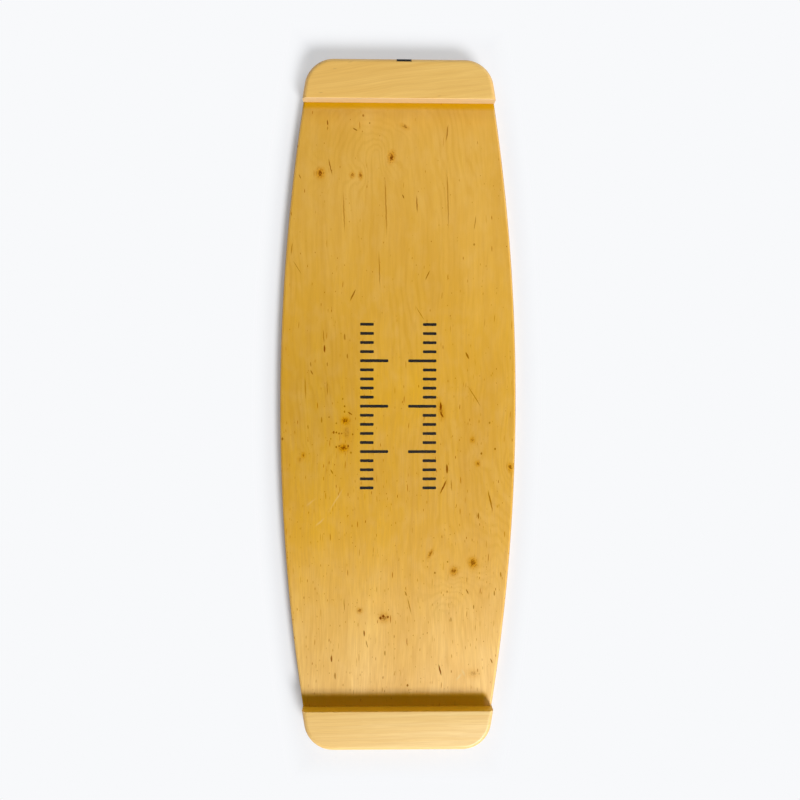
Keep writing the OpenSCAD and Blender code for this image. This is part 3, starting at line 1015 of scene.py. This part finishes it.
# %% [markdown]
# ## A grid that walks round the board
# Every layer of the deck has the same outline, and only its height differs, so one Geometry Nodes
# tree makes all eleven. A flat grid is rolled round the board: its columns walk along the outline
# and its rows climb the edge. This first part of the tree says where a column stands. It turns
# slowly along the side, makes a tiny step where the stop begins, and then rounds the corner.

# %% Ply tree: columns
DECK_EDGE = 3 * MM
WALL_ROWS = 12
QUARTER_STEPS = 40
# Where along a quarter of the outline its parts end, before the straight end of the board
AT_STOP, PAST_STOP, AT_CORNER, PAST_CORNER = [step / QUARTER_STEPS for step in (20, 21, 22, 38)]
STOP_TURN = math.asin(STOP_FACE / SIDE_RADIUS)
STOP_STEP = math.radians(0.002)
PLY_SIZES = ["Bottom", "Top", "Low Crowding", "High Crowding", "Deck Top", "Edge Radius"]
PLY_SIZES += ["Side Radius", "Side Centre", "Corner Radius", "Corner Angle", "Stop Angle"]

ply_tree, given = start_tree("ply", dict.fromkeys(PLY_SIZES, "Float"))
edge, corner_angle = given["Edge Radius"], given["Corner Angle"]
grid = {"Size X": 4, "Size Y": 1, "Vertices X": 4 * QUARTER_STEPS + 1, "Vertices Y": WALL_ROWS + 2}
grid = add(ply_tree, "GeometryNodeMeshGrid", grid)
spot = add(ply_tree, "GeometryNodeInputPosition")
spot = add(ply_tree, "ShaderNodeSeparateXYZ", {"Vector": spot})
walk, climb = spot.outputs["X"], spot.outputs["Y"]

# How far along a quarter of the outline, and on which side of the board
way = add(ply_tree, "ShaderNodeMath", (walk, 1), operation="PINGPONG")
side_x = add(ply_tree, "ShaderNodeMath", (walk,), operation="ABSOLUTE")
side_x = add(ply_tree, "ShaderNodeMath", (side_x, 1), operation="SUBTRACT")
side_x = add(ply_tree, "ShaderNodeMath", (side_x,), operation="SIGN")
side_y = add(ply_tree, "ShaderNodeMath", (walk, -1), operation="MULTIPLY")
side_y = add(ply_tree, "ShaderNodeMath", (side_y,), operation="SIGN")

# Which way the outline faces there
to_corner = add(ply_tree, "ShaderNodeMath", (corner_angle, given["Stop Angle"]), operation="SUBTRACT")
to_end = add(ply_tree, "ShaderNodeMath", (math.pi / 2, corner_angle), operation="SUBTRACT")
turn = add(ply_tree, "ShaderNodeMapRange", (way, 0, AT_STOP, 0, given["Stop Angle"]))
for start, end, part in (
    (AT_STOP, PAST_STOP, STOP_STEP),
    (PAST_STOP, AT_CORNER, to_corner),
    (AT_CORNER, PAST_CORNER, to_end),
):
    part = add(ply_tree, "ShaderNodeMapRange", (way, start, end, 0, part))
    turn = add(ply_tree, "ShaderNodeMath", (turn, part), operation="ADD")

# The skeleton that the outline stands off from
reach = (given["Side Radius"], given["Corner Radius"])
reach = add(ply_tree, "ShaderNodeMath", reach, operation="SUBTRACT")
lean = add(ply_tree, "ShaderNodeMath", (turn, corner_angle), operation="MINIMUM")
bone_x = add(ply_tree, "ShaderNodeMath", (lean,), operation="COSINE")
bone_x = add(ply_tree, "ShaderNodeMath", (bone_x, reach), operation="MULTIPLY")
bone_x = add(ply_tree, "ShaderNodeMath", (bone_x, given["Side Centre"]), operation="SUBTRACT")
inward = add(ply_tree, "ShaderNodeMapRange", (way, PAST_CORNER, 1, 1, 0))
bone_x = add(ply_tree, "ShaderNodeMath", (bone_x, inward), operation="MULTIPLY")
bone_y = add(ply_tree, "ShaderNodeMath", (lean,), operation="SINE")
bone_y = add(ply_tree, "ShaderNodeMath", (bone_y, reach), operation="MULTIPLY")
print("the grid has", 4 * QUARTER_STEPS, "steps round the board and", WALL_ROWS, "rows up its edge")

# %% [markdown]
# ## Rows that round the edge
# The second part says how high a row stands, crowded towards the face where the edge bends most, and
# how far it is drawn in where the edge is rounded. The upper edge is rounded only between the
# stops, because under a stop the deck was left square. The first and last rows fold onto the
# middle line to close the faces.

# %% Ply tree: rows
MERGE = 0.001 * MM

wall = 0.5 - 1 / (WALL_ROWS + 1)
rise = add(ply_tree, "ShaderNodeMapRange", (climb, -wall, wall))
for crowding in (given["Low Crowding"], given["High Crowding"]):
    rise = add(ply_tree, "ShaderNodeMath", (rise, crowding), operation="POWER")
    rise = add(ply_tree, "ShaderNodeMath", (1, rise), operation="SUBTRACT")
level = add(ply_tree, "ShaderNodeMapRange", (rise, 0, 1, given["Bottom"], given["Top"]))
fold = add(ply_tree, "ShaderNodeMath", (climb,), operation="ABSOLUTE")
fold = add(ply_tree, "ShaderNodeMath", (fold, 0.5 - 0.5 / (WALL_ROWS + 1)), operation="LESS_THAN")

# The rounded edges draw a row in, like the cosine of how far it is up the round
low_gap = add(ply_tree, "ShaderNodeMath", (edge, level), operation="SUBTRACT")
high_gap = add(ply_tree, "ShaderNodeMath", (level, given["Deck Top"]), operation="SUBTRACT")
high_gap = add(ply_tree, "ShaderNodeMath", (high_gap, edge), operation="ADD")
between = add(ply_tree, "ShaderNodeMath", (way, (AT_STOP + PAST_STOP) / 2), operation="LESS_THAN")
high_gap = add(ply_tree, "ShaderNodeMath", (high_gap, between), operation="MULTIPLY")
radius = given["Corner Radius"]
for gap in (low_gap, high_gap):
    gap = add(ply_tree, "ShaderNodeMath", (gap, 0), operation="MAXIMUM")
    gap = add(ply_tree, "ShaderNodeMath", (gap, edge), operation="DIVIDE")
    bend = add(ply_tree, "ShaderNodeMath", (gap,), operation="ARCSINE")
    bend = add(ply_tree, "ShaderNodeMath", (bend,), operation="COSINE")
    bend = add(ply_tree, "ShaderNodeMath", (bend, 1), operation="SUBTRACT")
    radius = add(ply_tree, "ShaderNodeMath", (bend, edge, radius), operation="MULTIPLY_ADD")

# Skeleton and radius together give the place of a point, and folded rows lie on the middle line
off_x = add(ply_tree, "ShaderNodeMath", (turn,), operation="COSINE")
off_x = add(ply_tree, "ShaderNodeMath", (off_x, radius), operation="MULTIPLY")
off_x = add(ply_tree, "ShaderNodeMath", (off_x, bone_x), operation="ADD")
off_x = add(ply_tree, "ShaderNodeMath", (off_x, fold), operation="MULTIPLY")
off_x = add(ply_tree, "ShaderNodeMath", (off_x, side_x), operation="MULTIPLY")
off_y = add(ply_tree, "ShaderNodeMath", (turn,), operation="SINE")
off_y = add(ply_tree, "ShaderNodeMath", (off_y, radius), operation="MULTIPLY")
off_y = add(ply_tree, "ShaderNodeMath", (off_y, fold, bone_y), operation="MULTIPLY_ADD")
off_y = add(ply_tree, "ShaderNodeMath", (off_y, side_y), operation="MULTIPLY")
place = add(ply_tree, "ShaderNodeCombineXYZ", {"X": off_x, "Y": off_y, "Z": level})
rolled = add(ply_tree, "GeometryNodeSetPosition", {"Geometry": grid, "Position": place})
closed = add(ply_tree, "GeometryNodeMergeByDistance", {"Geometry": rolled, "Distance": MERGE})
end_tree(ply_tree, given, closed)

# %% [markdown]
# ## Eleven plies
# Each ply takes its height from the CAD solid that it replaces, and the two rows of holes are drilled
# through it. The two veneers crowd their rows towards the face that shows.

# %% Plies
def make_ply(node, crowding, finish):
    low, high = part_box(node)
    sizes = (low.z, high.z, *crowding, DECK_TOP, DECK_EDGE)
    sizes += (SIDE_RADIUS, SIDE_CENTRE, CORNER_RADIUS, CORNER_ANGLE, STOP_TURN)
    values = {**dict(zip(PLY_SIZES, sizes)), "Finish": finish}
    show(drill(grow(node + "_sheet", ply_tree, values), hole_rows), node)


make_ply("riding_face_veneer", (2, 1), riding_face_finish)
for layer in range(1, 10):
    if layer % 2:
        make_ply(f"core_ply_{layer}", (1, 1), cross_ply_finish)
    else:
        make_ply(f"core_ply_{layer}", (1, 1), long_ply_finish)
make_ply("roller_face_veneer", (1, 2), roller_face_finish)

# %% [markdown]
# ## Planed and lacquered stop wood
# The stops are solid laths of a pale wood, with the grain along the stop and so across the board.
# Solid wood is best made in three dimensions: rings lie round a far-off pith line, and whatever
# face the saw leaves shows its own cut of them. On top that gives soft bands, which slant in one
# lath and run straight in the other. The ends are darker, because end grain drinks more lacquer,
# and the wood is a little riper towards the left. The inner face of each stop is painted with the
# light it stands in: pale cream on the stop whose face looks towards the lamp, deep orange on the
# one in shade.

# %% Finish of the stops
PITH = (0, 0.66, -0.09)
RING_STEP = 7 * MM
# Noises of the grain, given as for the rings of the veneer, and ranges: from, to, and the values
# there. The fibres are coarser than real ones, so that they show.
LATH_BAND, LATH_FIBRE = (4, 150, 0.3, 0.7), (0.9, 60, 0.3, 0.7)
RING_BEND, LATH_RING = 5, (-0.4, 1, 0, 0.12)
BROAD_DEPTH, STRAND_DEPTH = 0.5, 0.45
LATH_CELL, LATH_DASH, DASH_RARITY = (18, 2.6, 2.6), (0.2, 0.06, 0, 0.5), 0.95
SWAY_SIZE, SWAY = 80 * MM, (0, 7 * MM, 5 * MM)
END_CUT = (0.3, 1, 0, 0.6)
INNER_FROM, INNER_FULL = 0.6, 0.9
RIPE_REACH, RIPE_DEPTH = 70 * MM, 0.25


def pale_lath(name, end, slant, pale, deep, inner):
    made, tree = start_material(name)
    where = add(tree, "ShaderNodeTexCoord").outputs["Object"]
    sway = add(tree, "ShaderNodeTexNoise", {"Vector": where, "Scale": 1 / SWAY_SIZE, "Detail": 1.5})
    sway = add(tree, "ShaderNodeVectorMath", (sway.outputs["Color"], SWAY, where), operation="MULTIPLY_ADD")
    lath = add(tree, "ShaderNodeMapping", {"Vector": sway, "Rotation": (0, 0, math.radians(-slant))})
    band, fibre = [along_grain(tree, lath, *noise, 0, MM) for noise in (LATH_BAND, LATH_FIBRE)]

    trunk = add(tree, "ShaderNodeMapping", {"Vector": lath, "Location": PITH, "Scale": (0, 1, 1)})
    ring = add(tree, "ShaderNodeVectorMath", (trunk,), operation="LENGTH")
    ring = add(tree, "ShaderNodeMath", (ring, math.tau / RING_STEP), operation="MULTIPLY")
    ring = add(tree, "ShaderNodeMath", (band, RING_BEND, ring), operation="MULTIPLY_ADD")
    ring = add(tree, "ShaderNodeMath", (ring,), operation="SINE")
    ring = add(tree, "ShaderNodeMapRange", (ring, *LATH_RING), **SMOOTH)
    broad = add(tree, "ShaderNodeMath", (band, BROAD_DEPTH), operation="MULTIPLY")
    strands = add(tree, "ShaderNodeMath", (fibre, STRAND_DEPTH), operation="MULTIPLY")
    cells = add(tree, "ShaderNodeMapping", {"Vector": lath, "Scale": [1 / size / MM for size in LATH_CELL]})
    cell = add(tree, "ShaderNodeTexVoronoi", {"Vector": cells, "Scale": 1})
    dash = add(tree, "ShaderNodeMapRange", (cell, *LATH_DASH), **SMOOTH)
    chance = add(tree, "ShaderNodeSeparateColor", {"Color": cell.outputs["Color"]}).outputs["Red"]
    chance = add(tree, "ShaderNodeMath", (chance, DASH_RARITY), operation="GREATER_THAN")
    dash = add(tree, "ShaderNodeMath", (dash, chance), operation="MULTIPLY")

    facing = add(tree, "ShaderNodeNewGeometry").outputs["Normal"]
    facing = add(tree, "ShaderNodeSeparateXYZ", {"Vector": facing})
    cut = add(tree, "ShaderNodeMath", (facing.outputs["X"],), operation="ABSOLUTE")
    cut = add(tree, "ShaderNodeMapRange", (cut, *END_CUT))
    # Painted light and shade on the inner face, in the colour given as inner: pale where the face looks
    # towards the lamp, deep orange where it lies in shade
    painted_face_light_shade = add(tree, "ShaderNodeMapRange", (facing.outputs["Y"], -INNER_FROM * end, -INNER_FULL * end))
    left = add(tree, "ShaderNodeSeparateXYZ", {"Vector": where}).outputs["X"]
    ripe = add(tree, "ShaderNodeMapRange", (left, -RIPE_REACH, RIPE_REACH, RIPE_DEPTH, 0))
    layers = [
        (ripe, "#EEB450"),
        (broad, deep),
        (ring, "#CF983A"),
        (strands, "#DCA84E"),
        (dash, "#A06C28"),
        (cut, "#C88A30"),
        (painted_face_light_shade, inner),
    ]
    tint = linear(pale)
    for amount, shade in layers:
        glaze = {"Factor": amount, "A": tint, "B": linear(shade)}
        tint = add(tree, "ShaderNodeMix", glaze, data_type="RGBA")
    rough = add(tree, "ShaderNodeMapRange", {"Value": fibre, "To Min": 0.4, "To Max": 0.46})
    relief = add(tree, "ShaderNodeBump", {"Height": fibre, "Strength": 0.35, "Distance": 0.04 * MM})
    lacquer = {"Base Color": tint, "Roughness": rough, "Specular IOR Level": 0.8, "Normal": relief}
    lacquer = add(tree, "ShaderNodeBsdfPrincipled", lacquer)
    return end_material(made, lacquer)


# The last colour is painted light and shade on the inner face. The plain stop, at the lamp's end, has paler
# wood, partly its own and partly painted sheen of the lamp there.
tag_lath = pale_lath("planed_pale_lath_slanting_grain", 1, 8, "#F6CE78", "#E2AE50", "#DDBC8C")
plain_lath = pale_lath("planed_pale_lath_straight_grain", -1, 1, "#FFDC90", "#F0C05E", "#E0AA12")

# %% [markdown]
# ## The shape of a stop
# A stop carries the outline of the deck up by 20 mm. Its outer top edge was rounded with a router,
# and its inner edge, which the roller hits, is only eased with sandpaper. A Bevel modifier would
# treat all edges alike, so the block is lofted from rings instead: each ring knows how far its
# outer side and its inner face are drawn in at that height.

# %% Stop blocks
STOP_ROUND = 5 * MM
STOP_ARRIS = 0.8 * MM
STOP_FOOT = 0.25 * MM
ROUND_STEPS = 12
CORNER_STEPS = 18


def stop_ring(height, inset, eased, end):
    start = math.asin((STOP_FACE + eased) / (SIDE_RADIUS - inset))
    turns = [start, (start + CORNER_ANGLE) / 2]
    rest = math.pi / 2 - CORNER_ANGLE
    turns += [CORNER_ANGLE + rest * i / CORNER_STEPS for i in range(CORNER_STEPS + 1)]
    half = []
    for turn in turns:
        lean = min(turn, CORNER_ANGLE)
        reach = SIDE_RADIUS - CORNER_RADIUS
        x = reach * math.cos(lean) - SIDE_CENTRE + (CORNER_RADIUS - inset) * math.cos(turn)
        y = reach * math.sin(lean) + (CORNER_RADIUS - inset) * math.sin(turn)
        half.append((x, y))
    around = half + [(-x, y) for x, y in reversed(half)]
    return [(end * x, end * y, height) for x, y in around]


def stop_block(name, end, finish):
    rows = [(DECK_TOP, STOP_FOOT, STOP_FOOT), (DECK_TOP + STOP_FOOT, 0, 0)]
    for i in range(ROUND_STEPS + 1):
        bend = math.pi / 2 * i / ROUND_STEPS
        height = BOARD_TOP - STOP_ROUND * (1 - math.sin(bend))
        up = max(0, height - (BOARD_TOP - STOP_ARRIS))
        eased = STOP_ARRIS - math.sqrt(max(0, STOP_ARRIS**2 - up**2))
        rows.append((height, STOP_ROUND * (1 - math.cos(bend)), eased))
    block = loft(name, [stop_ring(*row, end) for row in rows])
    block.data.materials.append(finish)
    print(name, "from", len(rows), "rings")
    return block


tag_block = stop_block("tag_end_stop_block", 1, tag_lath)
plain_block = stop_block("plain_end_stop_block", -1, plain_lath)

# %% [markdown]
# ## A recess for the tag
# A small tag goes up the end of one stop and turns over its rounded edge. A strip is lofted along
# that path, and what its outer side looks like is left open. With a plain outer side it is the
# cutter of a shallow recess. The stops are then drilled, and one of them gets this recess.

# %% Tag recess, and the stops cut
TAG_WIDTH = 16 * MM
TAG_OFFSET = 5 * MM
TAG_LIFT = 3 * MM
TAG_WRAP = math.radians(70)
TAG_DEPTH = 0.5 * MM
RECESS_SPARE = 0.05 * MM
RECESS_RUN_OUT = 3 * MM
RECESS_STEPS = 24


# Points up the end of the stop and over its edge, with the way out at each and the length so far
def tag_path(spare, steps):
    straight = BOARD_TOP - STOP_ROUND - DECK_TOP - TAG_LIFT
    total = straight + STOP_ROUND * TAG_WRAP
    points = []
    for i in range(steps + 1):
        along = -spare + (total + 2 * spare) * i / steps
        bend = max(0, along - straight) / STOP_ROUND
        y = HALF_LENGTH - STOP_ROUND * (1 - math.cos(bend))
        z = DECK_TOP + TAG_LIFT + min(along, straight) + STOP_ROUND * math.sin(bend)
        points.append((y, z, math.cos(bend), math.sin(bend), along))
    return points


def strip(name, spare, steps, inner, outer):
    half = TAG_WIDTH / 2 + spare
    rings = []
    for y, z, out_y, out_z, along in tag_path(spare, steps):
        section = [*outer(along), (1, inner), (-1, inner)]
        rings.append([(TAG_OFFSET + x * half, y + off * out_y, z + off * out_z) for x, off in section])
    return loft(name, rings)


def recess_surface(along):
    return [(-1, RECESS_RUN_OUT), (1, RECESS_RUN_OUT)]


tag_recess = strip("tag_recess", RECESS_SPARE, RECESS_STEPS, -TAG_DEPTH, recess_surface)
show(drill(tag_block, [*hole_rows, tag_recess]), "tag_end_stop")
show(drill(plain_block, hole_rows), "plain_end_stop")
for helper in (*hole_rows, tag_recess):
    bpy.data.objects.remove(helper)

# %% [markdown]
# ## Black woven tape
# The small tag on the end of one stop is a piece of black polyester tape, glued into a shallow
# recess and turned over the rounded edge. Woven tape is dull, with a faint sheen on each rib, so
# its finish follows the piece's own UV map, in millimetres along and across the tape.

# %% Finish of the tag
RIB = 0.8

tape, tree = start_material("black_polyester_tape_woven")
where = add(tree, "ShaderNodeTexCoord").outputs["UV"]
threads = add(tree, "ShaderNodeMapping", {"Vector": where, "Scale": (1 / RIB, 1 / RIB, 1)})
weave = {"Vector": threads, "Scale": 0.5, "Distortion": 0.3, "Detail": 1}
weave = add(tree, "ShaderNodeTexWave", weave, bands_direction="DIAGONAL").outputs["Fac"]
lint = add(tree, "ShaderNodeTexNoise", {"Vector": where, "Scale": 2.5, "Detail": 4})
tint = {"Factor": lint, "A": linear("#060606"), "B": linear("#141416")}
tint = add(tree, "ShaderNodeMix", tint, data_type="RGBA")
rough = add(tree, "ShaderNodeMapRange", {"Value": weave, "To Min": 0.6, "To Max": 0.8})
relief = add(tree, "ShaderNodeBump", {"Height": weave, "Strength": 0.5, "Distance": 0.08 * MM})
cloth = {"Base Color": tint, "Roughness": rough, "Normal": relief, "Specular IOR Level": 0.3}
cloth = add(tree, "ShaderNodeBsdfPrincipled", {**cloth, "Sheen Weight": 0.05, "Sheen Roughness": 0.4})
end_material(tape, cloth)

# %% [markdown]
# ## The tag
# The tape is modelled as it is woven: fine ribs run across it, and a thicker selvedge borders it on
# both sides. The ribs are real shape, a small wave along the path.

# %% Tag strip
TAG_PROUD = 0.12 * MM
RIB_HEIGHT = 0.06 * MM
TAG_STEPS = 120
# Places across the tape, as a share of its half width, and the rise of the selvedge at its own
COLUMNS = [-1, -0.97, -0.9, -0.86, -0.4, 0, 0.4, 0.86, 0.9, 0.97, 1]
SELVEDGE = {1: -0.15 * MM, 0.97: 0.05 * MM, 0.9: 0.1 * MM}


def tape_surface(along):
    rib = RIB_HEIGHT * math.cos(math.tau * along / (RIB * MM))
    return [(x, TAG_PROUD + SELVEDGE.get(abs(x), rib)) for x in COLUMNS]


tag = strip("end_tag_tape", 0, TAG_STEPS, -TAG_DEPTH + RECESS_SPARE, tape_surface)
uv = tag.data.uv_layers.new(name="tape")
for loop in tag.data.loops:
    x, y, z = tag.data.vertices[loop.vertex_index].co
    uv.data[loop.index].uv = (x / MM, (z - HALF_LENGTH + y) / MM)
tag.data.materials.append(tape)
show(settle(tag), "end_tag")

# %% [markdown]
# ## Matt black screen ink
# The middle of the roller face carries a print in matt black ink. Ink that was squeezed through a
# screen lies as a thin film, takes up the grain a little and has small pale pinholes where
# the roller has rubbed it.

# %% Finish of the print
INK_GRAIN = (*FIBRE_NOISE[:2], 1)
INK_SPECK = 0.9 * MM
PINHOLE = (0.66, 0.74, 0, 0.6)

ink, tree = start_material("matt_black_screen_ink")
where = add(tree, "ShaderNodeTexCoord").outputs["Object"]
grain = add(tree, "ShaderNodeMapping", {"Vector": where, "Scale": [1 / size / MM for size in INK_GRAIN]})
grain = add(tree, "ShaderNodeTexNoise", {"Vector": grain, "Scale": 1, "Detail": 3})
speck = {"Vector": where, "Scale": 1 / INK_SPECK, "Detail": 3, "Roughness": 0.7}
speck = add(tree, "ShaderNodeTexNoise", speck)
speck = add(tree, "ShaderNodeMapRange", (speck, *PINHOLE))
tint = linear("#0C0B09")
for amount, shade in ((grain, "#1D1A15"), (speck, "#7A5A22")):
    glaze = {"Factor": amount, "A": tint, "B": linear(shade)}
    tint = add(tree, "ShaderNodeMix", glaze, data_type="RGBA")
rough = add(tree, "ShaderNodeMapRange", {"Value": grain, "To Min": 0.5, "To Max": 0.62})
relief = add(tree, "ShaderNodeBump", {"Height": grain, "Strength": 0.3, "Distance": 0.03 * MM})
film = {"Base Color": tint, "Roughness": rough, "Specular IOR Level": 0.3, "Normal": relief}
film = add(tree, "ShaderNodeBsdfPrincipled", film)
end_material(ink, film)

# %% [markdown]
# ## A scale for the roller
# The print is a plain scale: two columns of bars, one bar every 10 mm and a long one every 50 mm, so
# that a rider can see how far the roller stands from the middle. Bars that repeat at even steps
# are one Mesh Line of points with a rounded bar on each. The second column is the first one
# turned by half a turn.

# %% Scale by Geometry Nodes
BAR_ROUNDING, ROUNDING_STEPS = 0.3, 4
SCALE_COUNTS = {"Bars": 19, "Long Every": 5}
SCALE_SIZES = {
    "Step": 10 * MM,
    "Bar Width": 3.2 * MM,
    "Short Bar": 15 * MM,
    "Long Bar": 31 * MM,
    "Outer Edge": 42 * MM,
    "Ink Thickness": 0.03 * MM,
    "Height": DECK_TOP,
}

scale_inputs = {**dict.fromkeys(SCALE_COUNTS, "Int"), **dict.fromkeys(SCALE_SIZES, "Float")}
scale_tree, given = start_tree("roller_scale", scale_inputs)
last = add(scale_tree, "ShaderNodeMath", (given["Bars"], 1), operation="SUBTRACT")
lowest = add(scale_tree, "ShaderNodeMath", (last, given["Step"]), operation="MULTIPLY")
lowest = add(scale_tree, "ShaderNodeMath", (lowest, -0.5), operation="MULTIPLY")
middle = add(scale_tree, "ShaderNodeMath", (last, 2), operation="DIVIDE")
number = add(scale_tree, "GeometryNodeInputIndex")
number = add(scale_tree, "ShaderNodeMath", (number, middle), operation="SUBTRACT")
number = add(scale_tree, "ShaderNodeMath", (number, given["Long Every"]), operation="FLOORED_MODULO")
is_long = add(scale_tree, "ShaderNodeMath", (number, 0.5), operation="LESS_THAN")
is_short = add(scale_tree, "ShaderNodeMath", (1, is_long), operation="SUBTRACT")


def join(first, second):
    both = add(scale_tree, "GeometryNodeJoinGeometry", {"Geometry": first})
    scale_tree.links.new(second.outputs[0], both.inputs["Geometry"])
    return both


columns = []
for length, chosen in ((given["Short Bar"], is_short), (given["Long Bar"], is_long)):
    centre = (length, -0.5, given["Outer Edge"])
    centre = add(scale_tree, "ShaderNodeMath", centre, operation="MULTIPLY_ADD")
    start = add(scale_tree, "ShaderNodeCombineXYZ", {"X": centre, "Y": lowest, "Z": given["Height"]})
    step = add(scale_tree, "ShaderNodeCombineXYZ", {"Y": given["Step"]})
    places = {"Count": given["Bars"], "Start Location": start, "Offset": step}
    places = add(scale_tree, "GeometryNodeMeshLine", places)
    outline = {"Width": length, "Height": given["Bar Width"]}
    outline = add(scale_tree, "GeometryNodeCurvePrimitiveQuadrilateral", outline)
    rounding = add(scale_tree, "ShaderNodeMath", (given["Bar Width"], BAR_ROUNDING), operation="MULTIPLY")
    outline = {"Curve": outline, "Radius": rounding, "Count": ROUNDING_STEPS}
    outline = add(scale_tree, "GeometryNodeFilletCurve", outline, mode="POLY")
    film = add(scale_tree, "GeometryNodeFillCurve", {"Curve": outline}, mode="NGONS")
    raised = {"Mesh": film, "Offset Scale": given["Ink Thickness"], "Individual": False}
    raised = add(scale_tree, "GeometryNodeExtrudeMesh", raised)
    under = add(scale_tree, "GeometryNodeFlipFaces", {"Mesh": film})
    bar = join(raised, under)
    bar = add(scale_tree, "GeometryNodeMergeByDistance", {"Geometry": bar, "Distance": MERGE})
    column = {"Points": places, "Selection": chosen, "Instance": bar}
    columns.append(add(scale_tree, "GeometryNodeInstanceOnPoints", column))
column = join(*columns)
other = add(scale_tree, "GeometryNodeTransform", {"Geometry": column, "Rotation": (0, 0, math.pi)})
end_tree(scale_tree, given, join(column, other))

scale = grow("roller_travel_scale", scale_tree, {**SCALE_COUNTS, **SCALE_SIZES, "Finish": ink})
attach(scale, "root")
print(scale.name, "has", len(scale.data.polygons), "faces")

# %% [markdown]
# ## Does it still fit?
# The dressed board must be as large as the CAD board, apart from what a film of ink or a tape may
# stand proud.

# %% Compare the boxes and finish
visual_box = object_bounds()
for name, box in (("CAD", cad_box), ("visual", visual_box)):
    print(name, [[round(v / MM, 2) for v in corner] for corner in box])
